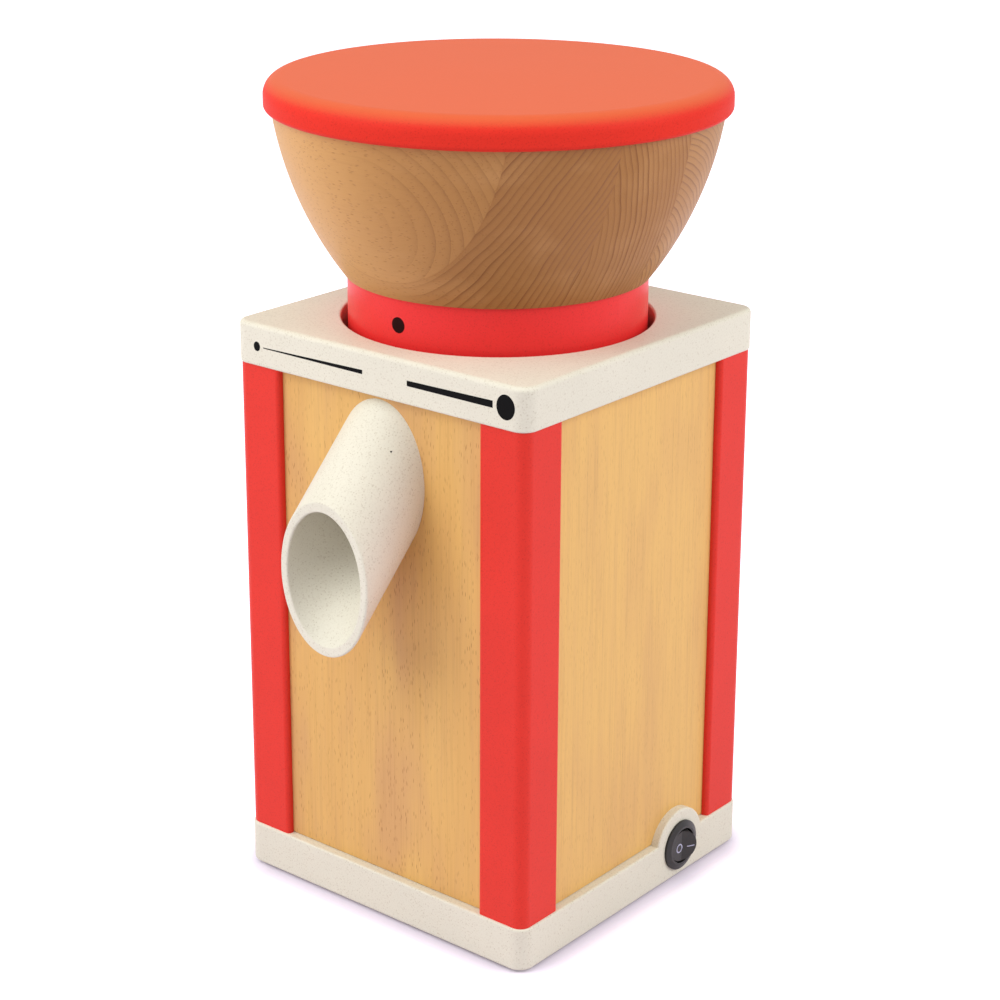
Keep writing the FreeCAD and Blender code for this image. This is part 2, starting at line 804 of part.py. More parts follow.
def make_motor():
    """Motor: end shields, stator, windings, bearings and bolts; it hangs from the chamber."""
    shield = body("upper_motor_shield")
    roof = f"({CHAMBER_FOOT} - shield_plate)"
    wall = "(motor_radius - motor_wall)"
    hub = "(bearing_radius + hub_wall)"
    hub_end = f"({CHAMBER_FOOT} - bearing_lip - bearing_height - bearing_lip / 2)"
    bearing_top = f"({CHAMBER_FOOT} - bearing_lip)"
    turned(
        shield,
        [
            ("seal_radius", CHAMBER_FOOT),
            ("seal_radius", bearing_top),
            ("bearing_radius", bearing_top),
            ("bearing_radius", hub_end),
            (hub, hub_end),
            (hub, roof),
            (wall, roof),
            (wall, STATOR_TOP),
            ("motor_radius", STATOR_TOP),
            ("motor_radius", CHAMBER_FOOT),
        ],
    )
    screw_holes(shield, "motor_screw_circle", 45, "small_screw_radius", CHAMBER_FOOT, "shield_plate")
    screw_holes(shield, "motor_bolt_circle", 0, "motor_bolt_radius", CHAMBER_FOOT, "upper_shield_height")

    lower = body("lower_motor_shield")
    low_roof = f"({MOTOR_FOOT} + shield_plate)"
    low_seat = f"({MOTOR_FOOT} + bearing_lip)"
    low_hub_end = f"({low_seat} + bearing_height + bearing_lip / 2)"
    turned(
        lower,
        [
            ("seal_radius", MOTOR_FOOT),
            ("motor_radius", MOTOR_FOOT),
            ("motor_radius", STATOR_FOOT),
            (wall, STATOR_FOOT),
            (wall, low_roof),
            (hub, low_roof),
            (hub, low_hub_end),
            ("bearing_radius", low_hub_end),
            ("bearing_radius", low_seat),
            ("seal_radius", low_seat),
        ],
    )
    screw_holes(lower, "motor_bolt_circle", 0, "motor_bolt_radius", STATOR_FOOT, "lower_shield_height")
    vent = sketch_on(lower, "XY_Plane", low_roof)
    circles(vent, [("motor_screw_circle - hub_wall", "0")], "seal_radius * 0.7")
    around(lower, [pocket(lower, vent, "shield_plate")], 8)

    stator = body("motor_stator")
    ring(stator, "stator_bore", "motor_radius", STATOR_FOOT, STATOR_TOP)
    screw_holes(stator, "motor_bolt_circle", 0, "motor_bolt_radius", STATOR_TOP, "stator_height")

    windings = body("stator_windings")
    ring(windings, "winding_inner", "winding_outer", STATOR_TOP, f"{STATOR_TOP} + winding_height")
    ring(windings, "winding_inner", "winding_outer", f"{STATOR_FOOT} - winding_height", STATOR_FOOT)

    bore = "shaft_radius + shaft_play"
    upper_foot = f"{bearing_top} - bearing_height"
    lower_top = f"{low_seat} + bearing_height"
    ring(body("upper_bearing"), bore, "bearing_radius", upper_foot, bearing_top)
    ring(body("lower_bearing"), bore, "bearing_radius", low_seat, lower_top)
    ring(body("shaft_seal"), bore, "seal_radius", CHAMBER_FOOT, CHAMBER_DECK)

    screws(
        "motor_bolts", compass("motor_bolt_circle"), MOTOR_FOOT, CHAMBER_FOOT,
        "motor_bolt_radius", "motor_bolt_radius * 1.3", "fan_gap", upwards=True,
    )
    screws(
        "motor_screws", compass("motor_screw_circle", 45), f"({CHAMBER_DECK} - small_screw_sink)", roof,
        "small_screw_radius", "small_screw_head", "small_screw_sink", upwards=False,
    )


def screw_holes(piece, circle, turn, radius, plane, depth):
    """Four holes on a circle, cut down from a plane."""
    bores = circles(sketch_on(piece, "XY_Plane", plane), compass(circle, turn), radius)
    return pocket(piece, bores, depth)


def make_runner():
    """Everything that the motor turns: shaft, rotor, fan, sweeper, lower stone and its nut."""
    shaft = body("motor_shaft")
    turned(
        shaft,
        [
            ("0", FAN_FOOT),
            ("shaft_radius", FAN_FOOT),
            ("shaft_radius", SWEEPER_FOOT),
            ("spindle_radius", SWEEPER_FOOT),
            ("spindle_radius", SPINDLE_TOP),
            ("0", SPINDLE_TOP),
        ],
    )
    rotor = body("motor_rotor")
    ring(
        rotor, "shaft_radius", "stator_bore - air_gap",
        f"{STATOR_FOOT} + rotor_short", f"{STATOR_TOP} - rotor_short",
    )

    fan = body("cooling_fan")
    ring(fan, "shaft_radius", "fan_hub", FAN_FOOT, FAN_TOP)
    ring(fan, "fan_hub - fan_blade", "fan_radius", FAN_FOOT, f"{FAN_FOOT} + fan_blade")
    blade = sketch_on(fan, "XY_Plane", FAN_FOOT)
    rectangle(blade, "fan_hub - fan_blade / 2", "fan_radius", "-fan_blade / 2", "fan_blade / 2")
    around(fan, [pad(fan, blade, "fan_height")], "fan_blades")

    sweeper = body("flour_sweeper")
    ring(sweeper, "spindle_radius", "stone_radius + sweeper_lip", SWEEPER_FOOT, RUNNER_FOOT)
    paddle = sketch_on(sweeper, "XY_Plane", SWEEPER_FOOT)
    paddle_root = "stone_radius + sweeper_gap / 2"
    rectangle(paddle, paddle_root, PADDLE_REACH, "-paddle_width / 2", "paddle_width / 2")
    around(sweeper, [pad(sweeper, paddle, "paddle_height")], 3)

    stone = body("runner_stone")
    seat = f"({RUNNER_FOOT} + stone_seat)"
    turned(
        stone,
        [
            ("spindle_radius", RUNNER_FOOT),
            ("stone_radius", RUNNER_FOOT),
            ("stone_radius", RUNNER_TOP),
            ("nut_recess", RUNNER_TOP),
            ("nut_recess", seat),
            ("spindle_radius", seat),
        ],
    )
    furrows(stone, RUNNER_TOP, forwards=False)

    nut = body("stone_nut")
    corner = "(nut_flats / sqrt(3))"
    hexagon = [(f"{corner} * cos({60 * n} deg)", f"{corner} * sin({60 * n} deg)") for n in range(6)]
    outline(sketch_on(nut, "XY_Plane", seat), hexagon)
    pad(nut, nut.Group[-1], "nut_height")
    dome = "(nut_flats * 0.45)"
    turned(
        nut,
        [
            ("0", SPINDLE_TOP),
            (dome, SPINDLE_TOP),
            (f"{dome} * 0.7", f"{SPINDLE_TOP} + {dome} * 0.45"),
            ("0", f"{SPINDLE_TOP} + {dome} * 0.6"),
        ],
    )
    hole = circles(sketch_on(nut, "XY_Plane", SPINDLE_TOP), [("0", "0")], "spindle_radius")
    pocket(nut, hole, "nut_height")


def furrows(piece, plane, forwards):
    """The dress of a millstone: straight furrows set off from the middle."""
    sketch = sketch_on(piece, "XY_Plane", plane)
    rectangle(
        sketch, "nut_recess", "stone_radius + furrow_width",
        "furrow_offset - furrow_width / 2", "furrow_offset + furrow_width / 2",
    )
    around(piece, [pocket(piece, sketch, "furrow_depth", forwards)], "furrow_count")


def make_carrier():
    """Threaded carrier that holds the upper stone and screws into the chamber."""
    piece = body("stone_carrier")
    seal_foot = f"({CARRIER_FOOT} + seal_low)"
    seal_roof = f"({seal_foot} + seal_height + 2 * seal_fit)"
    groove = f"({THREAD} - seal_depth)"
    turned(
        piece,
        [
            ("stone_radius + carrier_play", CARRIER_FOOT),
            (THREAD, CARRIER_FOOT),
            (THREAD, seal_foot),
            (groove, seal_foot),
            (groove, seal_roof),
            (THREAD, seal_roof),
            (THREAD, CARRIER_TOP),
            (FEED_HOLE, CARRIER_TOP),
            (FEED_HOLE, UPPER_TOP),
            ("stone_radius + carrier_play", UPPER_TOP),
        ],
    )
    through = f"{CARRIER_TOP} - {CARRIER_FOOT}"
    screw_holes(piece, CARRIER_SCREWS, 45, "small_screw_radius + screw_play", CARRIER_TOP, through)
    sinks = sketch_on(piece, "XY_Plane", UPPER_TOP)
    circles(sinks, compass(CARRIER_SCREWS, 45), "small_screw_head + screw_play")
    pocket(piece, sinks, f"{UPPER_TOP} - {CARRIER_FOOT}")

    ring(
        body("thread_seal"), f"{groove} + seal_fit", THREAD,
        f"{seal_foot} + seal_fit", f"{seal_roof} - seal_fit",
    )
    screws(
        "carrier_screws", compass(CARRIER_SCREWS, 45), UPPER_TOP, f"({CARRIER_TOP} + carrier_screw_bite)",
        "small_screw_radius", "small_screw_head", "small_screw_sink", upwards=True,
    )

    stone = body("upper_stone")
    ring(stone, "stone_eye", "stone_radius", UPPER_FACE, UPPER_TOP)
    furrows(stone, UPPER_FACE, forwards=True)


def make_collar():
    """Red adjusting collar with a recess for the carrier and a hole for the index dot."""
    piece = body("adjusting_collar")
    web = f"({CARRIER_TOP} + collar_web)"
    turned(
        piece,
        [
            (FEED_HOLE, CARRIER_TOP),
            (f"{THREAD} + carrier_play", CARRIER_TOP),
            (f"{THREAD} + carrier_play", COLLAR_FOOT),
            (COLLAR, COLLAR_FOOT),
            (COLLAR, COLLAR_TOP),
            (f"{COLLAR} - collar_rim", COLLAR_TOP),
            (f"{COLLAR} - collar_rim", web),
            ("collar_hub", web),
            ("collar_hub", COLLAR_TOP),
            (FEED_HOLE, COLLAR_TOP),
        ],
    )
    foot = number(COLLAR_FOOT)
    reach = number(COLLAR)

    def foot_edge(edge):
        curve = edge.Curve
        return level(edge, foot) and hasattr(curve, "Radius") and abs(curve.Radius - reach) < 0.01

    rounded(piece, foot_edge, "post_edge")
    blind = screw_holes(
        piece, CARRIER_SCREWS, 45, "small_screw_radius", CARRIER_TOP, "carrier_screw_bite"
    )
    blind.Reversed = True
    wide = "small_screw_radius + screw_play"
    screw_holes(piece, "bowl_screw_circle", 0, wide, COLLAR_TOP, "collar_height")
    sinks = sketch_on(piece, "XY_Plane", CARRIER_TOP)
    circles(sinks, compass("bowl_screw_circle"), "small_screw_head + screw_play")
    pocket(piece, sinks, "small_screw_sink", forwards=True)
    dot = sketch_on(piece, "XZ_Plane", COLLAR)
    circles(dot, [("0", f"{DECK} + index_height")], "index_radius")
    pocket(piece, dot, "index_depth")

    pin = body("index_pin")
    face = sketch_on(pin, "XZ_Plane", f"{COLLAR} - index_depth")
    circles(face, [("0", f"{DECK} + index_height")], "index_radius")
    pad(pin, face, "index_depth")


def make_bowl():
    """Turned beech bowl on the collar, its screws and the metal feed tube."""
    piece = body("hopper_bowl")
    inner_rim = "(bowl_rim_radius - bowl_wall)"
    turned(
        piece,
        [
            (FEED_HOLE, COLLAR_TOP),
            (BOWL_FOOT, COLLAR_TOP),
            ("bowl_rim_radius", BOWL_TOP),
            (inner_rim, BOWL_TOP),
            ("feed_flange", BOWL_DECK),
            (FEED_HOLE, BOWL_DECK),
        ],
        {
            1: ("bowl_curve", 1),
            3: ("bowl_hollow_curve", -1),
        },
    )
    screw_tip = f"({COLLAR_TOP} + bowl_floor - small_screw_radius)"
    bite = "bowl_floor - small_screw_radius"
    screw_holes(piece, "bowl_screw_circle", 0, "small_screw_radius", screw_tip, bite)
    screws(
        "bowl_screws", compass("bowl_screw_circle"), f"({CARRIER_TOP} + small_screw_sink)", screw_tip,
        "small_screw_radius", "small_screw_head", "small_screw_sink", upwards=True,
    )
    tube = body("feed_tube")
    turned(
        tube,
        [
            ("feed_radius", UPPER_TOP),
            (FEED_OUTER, UPPER_TOP),
            (FEED_OUTER, BOWL_DECK),
            ("feed_flange", BOWL_DECK),
            ("feed_flange - feed_flange_thickness", f"{BOWL_DECK} + feed_flange_thickness"),
            ("feed_radius", f"{BOWL_DECK} + feed_flange_thickness"),
        ],
    )


def make_lid():
    """Red lid with a soft rounded rim and a lip that centres it in the bowl."""
    piece = body("lid")
    lip_out = "(bowl_rim_radius - bowl_wall - lid_lip_play)"
    lip_in = f"({lip_out} - lid_lip_width)"
    lip_foot = f"({BOWL_TOP} - lid_lip_height)"
    ceiling = f"({BOWL_TOP} + lid_ceiling)"
    turned(
        piece,
        [
            ("0", ceiling),
            (lip_in, ceiling),
            (lip_in, lip_foot),
            (lip_out, lip_foot),
            (lip_out, BOWL_TOP),
            (LID, BOWL_TOP),
            (LID, LID_TOP),
            ("0", f"{LID_TOP} + lid_dome"),
        ],
    )
    roof = number(LID_TOP)
    floor = number(BOWL_TOP)
    reach = number(LID)

    def rim_edge(edge, height):
        curve = edge.Curve
        return level(edge, height) and hasattr(curve, "Radius") and abs(curve.Radius - reach) < 0.01

    rounded(piece, lambda edge: rim_edge(edge, roof), "lid_round")
    rounded(piece, lambda edge: rim_edge(edge, floor), "lid_lower_round")


def spout_screw_spots():
    """Where the spout's screws pass through the front panel."""
    height = f"{DECK} - spout_screw_drop"
    return [("-spout_screw_space / 2", height), ("spout_screw_space / 2", height)]


def make_spout():
    """Spout: a slanting tube cut upright at both ends, with a spigot into the chamber."""
    run = f"({SPOUT_FRONT} * 2)"

    def slanting(radius):
        item = cylinder(radius, f"{run} * 2", y=f"{run} - {PANEL_OUT}", z=f"{SPOUT_MIDDLE} + {run}")
        return lying(item, (1, 0, 0), 135)

    side = "(port_width / 2 + port_wall)"
    far = "(2 * spout_radius)"
    shell_room = block(
        f"-{far}", far, f"-{SPOUT_FRONT}", f"-{PANEL_OUT}",
        f"{SPOUT_MIDDLE} - 3 * {far}", f"{SPOUT_MIDDLE} + 2 * {far}",
    )
    shell = joined("Common", slanting("spout_radius"), shell_room)
    bore_room = block(
        f"-{far}", far, f"-{SPOUT_FRONT} - {far}", f"-{PANEL_OUT} - spout_back",
        f"{SPOUT_MIDDLE} - 4 * {far}", f"{SPOUT_MIDDLE} + 2 * {far}",
    )
    bore = joined("Common", slanting("spout_radius - spout_wall"), bore_room)
    hollow = joined("Cut", shell, bore)
    spigot = block(
        f"-{side}", side, f"-{PANEL_OUT}", f"-{PORT_FACE}",
        f"{PORT_FOOT} - port_wall", f"{PORT_TOP} + port_wall",
    )
    passage = block(
        "-port_width / 2", "port_width / 2", f"-{PANEL_OUT} - 2 * spout_back", f"-{PORT_FACE} + port_wall",
        PORT_FOOT, PORT_TOP,
    )
    whole = joined("Cut", joined("Fuse", hollow, spigot), passage)
    for sign in (-1, 1):
        pilot = cylinder(
            "small_screw_radius", "spout_back", x=f"{sign} * spout_screw_space / 2",
            y=f"-{PANEL_OUT} - spout_back + small_screw_radius / 2", z=f"{DECK} - spout_screw_drop",
        )
        whole = joined("Cut", whole, lying(pilot, (1, 0, 0), -90))
    doc.recompute()
    front = -number(SPOUT_FRONT)

    def rim_edge(edge):
        box = edge.BoundBox
        return box.YLength < 0.01 and abs(box.YMin - front) < 0.01

    soft = doc.addObject("Part::Fillet", "soft")
    soft.Base = whole
    size = number("spout_rim_round")
    names = edge_names(whole.Shape, rim_edge)
    soft.Edges = [(int(name[4:]), size, size) for name in names]
    kept(soft, "spout")

    piece = body("spout_screws")
    tip = f"({PANEL_OUT} + spout_back - small_screw_radius / 2)"
    shanks = circles(sketch_on(piece, "XZ_Plane", PANEL_IN), spout_screw_spots(), "small_screw_radius")
    pad(piece, shanks, f"{tip} - {PANEL_IN}")
    heads = circles(sketch_on(piece, "XZ_Plane", PANEL_IN), spout_screw_spots(), "small_screw_head")
    pad(piece, heads, "small_screw_sink", backwards=True)


def make_electrics():
    """Run capacitor and its clip, terminal block and cable gland."""
    middle = f"({BASE_DECK} + clip_thickness + capacitor_radius)"
    can = cylinder(
        "capacitor_radius", "capacitor_length",
        x="-capacitor_offset", y="capacitor_length / 2", z=middle,
    )
    kept(lying(can, (1, 0, 0), 90), "run_capacitor")

    outer = "(capacitor_radius + clip_thickness)"
    strap = cylinder(outer, "clip_width", x="-capacitor_offset", y="clip_width / 2", z=middle)
    foot = block(
        f"-capacitor_offset - {outer}", f"-capacitor_offset + {outer}",
        "-clip_width / 2", "clip_width / 2", BASE_DECK, f"{BASE_DECK} + clip_thickness",
    )
    hole = cylinder("capacitor_radius", "clip_width * 2", x="-capacitor_offset", y="clip_width", z=middle)
    band = joined("Fuse", lying(strap, (1, 0, 0), 90), foot)
    kept(joined("Cut", band, lying(hole, (1, 0, 0), 90)), "capacitor_clip")

    terminal = body("terminal_block")
    footprint = sketch_on(terminal, "XY_Plane", BASE_DECK)
    rectangle(
        footprint, "terminal_offset", "terminal_offset + terminal_width",
        "-terminal_length / 2", "terminal_length / 2",
    )
    pad(terminal, footprint, "terminal_height")
    wells = sketch_on(terminal, "XY_Plane", f"{BASE_DECK} + terminal_height")
    row = "terminal_offset + terminal_width / 2"
    steps = [(row, f"terminal_length * {n} / 4") for n in (-1.5, -0.5, 0.5, 1.5)]
    circles(wells, steps, "small_screw_radius")
    pocket(terminal, wells, "terminal_height / 2")

    gland = body("cable_gland")
    turned(
        gland,
        [
            ("gland_bore", "base_wall + gland_flange_thickness"),
            ("gland_bore", "-gland_snap_length"),
            ("gland_snap", "-gland_snap_length"),
            ("gland_snap", "0"),
            ("gland_radius", "0"),
            ("gland_radius", "base_wall"),
            ("gland_flange", "base_wall"),
            ("gland_flange", "base_wall + gland_flange_thickness"),
        ],
    )
    lying(gland, (1, 0, 0), -90)
    place(gland, y=CAVITY, z="gland_height")


def make_switch():
    """Round rocker switch in the base: bezel with barrel, rocker on two pivots, tabs."""
    tip = "(rocker_valley + rocker_radius * tan(rocker_half_angle * 1 deg))"
    flush = f"({tip} * cos(rocker_half_angle * 1 deg) - rocker_radius * sin(rocker_half_angle * 1 deg))"
    pivot = f"({HALF} + bezel_proud - rocker_sink - {flush})"
    front = f"({HALF} + bezel_proud)"
    axes = {"y": "switch_offset", "z": "switch_height"}

    bezel = body("switch_bezel")
    lip = f"({front} - bezel_lip)"
    floor = f"({front} - rocker_pocket)"
    back = f"({HALF} - switch_depth)"
    turned(
        bezel,
        [
            ("0", back),
            ("switch_radius", back),
            ("switch_radius", HALF),
            ("bezel_radius", HALF),
            ("bezel_radius", f"{HALF} + bezel_rim"),
            ("bezel_bore + bezel_land", front),
            ("bezel_bore", front),
            ("bezel_bore", lip),
            ("rocker_room", lip),
            ("rocker_room", floor),
            ("0", floor),
        ],
    )
    holes = sketch_on(bezel, "YZ_Plane", "-rocker_waist - pivot_length - pivot_play")
    circles(holes, [("0", pivot)], "pivot_radius + pivot_play")
    pocket(bezel, holes, "2 * (rocker_waist + pivot_length + pivot_play)", forwards=True)
    lying(bezel, (0, 1, 0), 90)
    place(bezel, **axes)

    rocker = body("switch_rocker")
    turned(
        rocker,
        [
            ("0", "-rocker_back"),
            ("rocker_waist - rocker_sink", "-rocker_back"),
            ("rocker_waist", "0"),
            ("rocker_radius", "rocker_valley"),
            ("rocker_radius", f"{tip} + 1"),
            ("0", f"{tip} + 1"),
        ],
    )
    valley = sketch_on(rocker, "YZ_Plane", "-2 * rocker_radius")
    reach = "(2 * rocker_radius)"
    rise = f"(rocker_valley + {reach} * tan(rocker_half_angle * 1 deg))"
    outline(valley, [("0", "rocker_valley"), (reach, rise), (f"-{reach}", rise)])
    pocket(rocker, valley, "4 * rocker_radius", forwards=True)
    pins = sketch_on(rocker, "YZ_Plane", "-rocker_waist - pivot_length")
    circles(pins, [("0", "0")], "pivot_radius")
    pad(rocker, pins, "2 * (rocker_waist + pivot_length)")
    half_turn = SIZES["rocker_half_angle"]
    pressed = FreeCAD.Rotation(FreeCAD.Vector(0, 0, 1), -half_turn)
    rocker.Placement.Rotation = pressed.multiply(FreeCAD.Rotation(FreeCAD.Vector(0, 1, 0), 90))
    place(rocker, x=pivot, **axes)

    tabs = body("switch_tabs")
    sketch = sketch_on(tabs, "YZ_Plane", back)
    for sign in (-1, 1):
        side = sketch if sign < 0 else sketch_on(tabs, "YZ_Plane", back)
        middle = f"(switch_offset + {sign} * tab_space / 2)"
        rectangle(
            side, f"{middle} - tab_thickness / 2", f"{middle} + tab_thickness / 2",
            "switch_height - tab_width / 2", "switch_height + tab_width / 2",
        )
        pad(tabs, side, "tab_length", backwards=True)


def check_pieces():
    """Stop if any object failed or any piece has no valid solid."""
    doc.recompute()
    for item in doc.Objects:
        bad = [word for word in item.State if word in ("Invalid", "Error")]
        if bad:
            raise RuntimeError(f"{item.Name} in {item.Label} failed: {bad}")
    for piece in PIECES:
        shape = piece.Shape
        if shape.isNull() or not shape.isValid() or not shape.Solids:
            raise RuntimeError(f"{piece.Label} has no valid solid")


def main():
    """Build every piece, check it and write its file."""
    fill_sheet()
    make_base()
    make_feet()
    make_base_screws()
    corners = ("back_right_post", "back_left_post", "front_left_post", "front_right_post")
    for step, label in enumerate(corners):
        make_post(label, 90 * step)
    sides = ("front_panel", "right_panel", "back_panel", "left_panel")
    for step, label in enumerate(sides):
        make_panel(label, 90 * step)
    make_top_plate()
    make_dowels()
    make_chamber()
    make_chamber_screws()
    make_motor()
    make_runner()
    make_carrier()
    make_collar()
    make_bowl()
    make_lid()
    make_spout()
    make_electrics()
    make_switch()
    check_pieces()
    os.makedirs("parts", exist_ok=True)
    for piece in PIECES:
        piece.Shape.exportStep(f"parts/{piece.Label}.step")
    print(len(PIECES), "pieces")


main()
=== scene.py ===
"""Electric grain mill: finishes, printed scale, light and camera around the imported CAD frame."""
import math

import bmesh
import bpy
from bpy.props import FloatProperty, FloatVectorProperty, PointerProperty
from bpy.types import Operator, Panel, PropertyGroup
from mathutils import Matrix, Vector
from mathutils.bvhtree import BVHTree


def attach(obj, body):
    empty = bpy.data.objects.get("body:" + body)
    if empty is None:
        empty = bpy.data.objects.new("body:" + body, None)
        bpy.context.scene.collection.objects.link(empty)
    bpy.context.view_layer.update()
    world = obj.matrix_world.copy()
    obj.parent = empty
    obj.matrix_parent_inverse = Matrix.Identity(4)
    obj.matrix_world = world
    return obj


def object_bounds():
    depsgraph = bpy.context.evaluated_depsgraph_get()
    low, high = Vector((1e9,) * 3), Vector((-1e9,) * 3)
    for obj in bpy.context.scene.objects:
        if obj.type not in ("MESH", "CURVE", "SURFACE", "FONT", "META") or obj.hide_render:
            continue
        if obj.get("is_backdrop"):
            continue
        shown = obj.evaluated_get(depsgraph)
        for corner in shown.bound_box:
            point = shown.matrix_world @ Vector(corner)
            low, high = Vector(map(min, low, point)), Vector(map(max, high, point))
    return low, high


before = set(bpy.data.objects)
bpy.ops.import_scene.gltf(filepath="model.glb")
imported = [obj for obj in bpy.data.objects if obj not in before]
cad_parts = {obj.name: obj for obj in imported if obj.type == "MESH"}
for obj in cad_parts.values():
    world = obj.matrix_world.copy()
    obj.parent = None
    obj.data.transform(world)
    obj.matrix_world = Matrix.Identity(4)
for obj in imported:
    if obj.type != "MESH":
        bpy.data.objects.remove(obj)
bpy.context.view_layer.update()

bl_info = {
    "name": "Grain mill dressing",
    "version": (1, 0, 0),
    "blender": (4, 5, 0),
    "location": "3D View > Sidebar > Mill",
    "description": "Finishes, printed scale, light and camera of a household grain mill",
    "category": "Object",
}

MM = 0.001

# Texture detail of every noise pattern
NOISE_DETAIL = 2.0

# The bowl's boards from front to back: lowest y in mm, how much painted shade darkens the board on
# the right, and y and z of its pith in mm
BOARDS = (
    (-200.0, 0.62, -268.0, 235.0),
    (-71.5, 0.80, 45.0, 290.0),
    (-33.0, 0.74, -300.0, 245.0),
    (5.5, 0.60, -20.0, 257.0),
    (44.0, 0.35, 10.0, 420.0),
    (82.5, 0.15, 140.0, 300.0),
)

# Camera fitted to the photograph: place and directions in the object's frame, in mm and degrees
CAMERA_AZIMUTH = 39.274
CAMERA_ELEVATION = 17.579
CAMERA_ROLL = 0.244
CAMERA_DISTANCE = 1116.4
CAMERA_AIM = (1.94, 206.73)
CAMERA_LENS = 87.14
CAMERA_SHIFT = -0.1
CAMERA_SENSOR = 36.0

# Lamps: name, azimuth and elevation in degrees, distance and edge in metres, setting of its power
LAMPS = (
    ("left_softbox", -30, 30, 1.5, 1.0, "key"),
    ("right_softbox", 108, 34, 1.5, 1.0, "fill"),
    ("top_softbox", -20, 60, 1.6, 1.2, "top"),
)
LAMP_AIM = Vector((0, 0, 0.18))

# Floor: half its edge in metres, half the edge in mm of the square that the painted shadow spreads
# from, and how far from that square in mm the painted shadow begins to fade and has faded out
FLOOR_REACH = 3.0
SHADOW_SQUARE = 62.0
SHADOW_FADE = (16.0, 38.0)

# Clearance in metres between the mill and the plane that prints are cast from
CAST_CLEARANCE = 0.05


def linear(code):
    """Turns an sRGB hex colour into linear red, green, blue and alpha."""
    parts = [int(code[i:i + 2], 16) / 255 for i in (1, 3, 5)]
    bent = [p / 12.92 if p <= 0.04045 else ((p + 0.055) / 1.055) ** 2.4 for p in parts]
    return (*bent, 1.0)


def paint(name, code, description):
    """A colour that the user can change, written as sRGB hex."""
    return FloatVectorProperty(
        name=name, description=description, default=linear(code),
        size=4, min=0.0, max=1.0, subtype="COLOR")


def size(name, millimetres, description):
    """A length that the user can change, written in millimetres."""
    return FloatProperty(
        name=name, description=description, default=millimetres * MM,
        min=0.0, unit="LENGTH", precision=5)


class MillFinish(PropertyGroup):
    """Colours of the mill's materials."""
    cream: paint("Cream", "#E4E0CE", "Mineral-filled composite of the base, plate and spout")
    cream_speck: paint("Cream speck", "#B3A68C", "Dark grains in the cream composite")
    red: paint("Red", "#E33528", "Red composite of the posts and lid")
    # Painted light: the collar's red is a little brighter than the posts' red, against the shade
    # the bowl casts on it
    collar: paint("Collar", "#EC3230", "Red composite of the turned collar")
    red_speck: paint("Red speck", "#B3261E", "Dark grains in the red composite")
    # Painted top light: colour laid on where the lid's face looks up, standing in for light from
    # above
    lid_painted_top_light: paint("Lid top", "#D66A40", "Where the lid's face looks up, as photographed")
    beech: paint("Beech", "#DDAD64", "Steamed beech of the panels")
    beech_light: paint("Light beech", "#E5B86C", "Yellow streaks of the beech")
    beech_tan: paint("Tan beech", "#D09F68", "Pinkish patches of the beech")
    beech_dash: paint("Beech rays", "#9A6432", "Dark ray dashes of the beech")
    bowl: paint("Bowl beech", "#D5A25F", "Early wood of the turned bowl")
    # Painted shade on the right of the bowl, and the tone of its darker end grain
    bowl_shade_and_end_grain: paint("Dark bowl beech", "#94602F", "Right side of the turned bowl")
    ring: paint("Year rings", "#7A4A26", "Dark edge of each year ring")
    stone: paint("Millstone", "#BDB6A6", "Bonded corundum grit of the stones")
    black: paint("Black", "#242221", "Moulded black polyamide")


class MillPrint(PropertyGroup):
    """Sizes and colours of the printed grind scale and the rocker's marks."""
    print_height: size("Print height", 247.2, "Height of the scale's middle line over the floor")
    print_lift: size("Print lift", 0.04, "How far the print stands on the plate")
    mark_lift: size("Mark lift", 0.04, "How far the marks stand on the rocker")
    ink: paint("Ink", "#0C0C0C", "Printed scale")
    mark: paint("Marks", "#B9B9D2", "Marks of the rocker")


class MillStage(PropertyGroup):
    """Lamps and floor."""
    ambient: FloatProperty(
        name="Ambient", description="Strength of the white room light", default=0.50, min=0.0)
    key: FloatProperty(
        name="Left softbox", description="Power of the lamp in front on the left",
        default=9.6, min=0.0, unit="POWER")
    fill: FloatProperty(
        name="Right softbox", description="Power of the lamp on the right",
        default=12.0, min=0.0, unit="POWER")
    top: FloatProperty(
        name="Overhead softbox", description="Power of the lamp above", default=9.0,
        min=0.0, unit="POWER")
    # Painted shadow: the low glow kept near the base darkens the contact shadow
    floor_glow: FloatProperty(
        name="Floor glow", description="Glow that is left in the contact shadow",
        default=0.08, min=0.0)
    floor_tint: paint("Floor tint", "#F4F0F6", "Colour of the floor's glow")


def add(tree, kind, inputs=None, **settings):
    """Adds a node, sets it up and fills its inputs: a socket is linked, any other value is set."""
    node = tree.nodes.new("ShaderNode" + kind)
    for key, value in settings.items():
        setattr(node, key, value)
    for key, value in (inputs or {}).items():
        if isinstance(value, bpy.types.NodeSocket):
            tree.links.new(value, node.inputs[key])
        else:
            node.inputs[key].default_value = value
    return node


def start(name, **values):
    """Starts a material with one shader, whose constant sockets are set here."""
    material = bpy.data.materials.new(name)
    material.use_nodes = True
    tree = material.node_tree
    tree.nodes.clear()
    named = {key.replace("_", " "): value for key, value in values.items()}
    shader = add(tree, "BsdfPrincipled", named)
    add(tree, "OutputMaterial", {"Surface": shader.outputs[0]})
    return material, tree, shader


def shaded(colour, share):
    """A colour made darker."""
    return (*(part * share for part in colour[:3]), 1.0)


def place(tree, cell):
    """Object coordinates counted in cells of the given size in mm along x, y and z."""
    ticks = tuple(1.0 / (edge * MM) for edge in cell)
    source = add(tree, "TexCoord").outputs["Object"]
    return add(tree, "VectorMath", {0: source, 1: ticks}, operation="MULTIPLY").outputs[0]


def facing(tree, axis):
    """How far the surface looks along x, y or z, from -1 to 1."""
    return add(tree, "SeparateXYZ", {0: add(tree, "TexCoord").outputs["Normal"]}).outputs[axis]


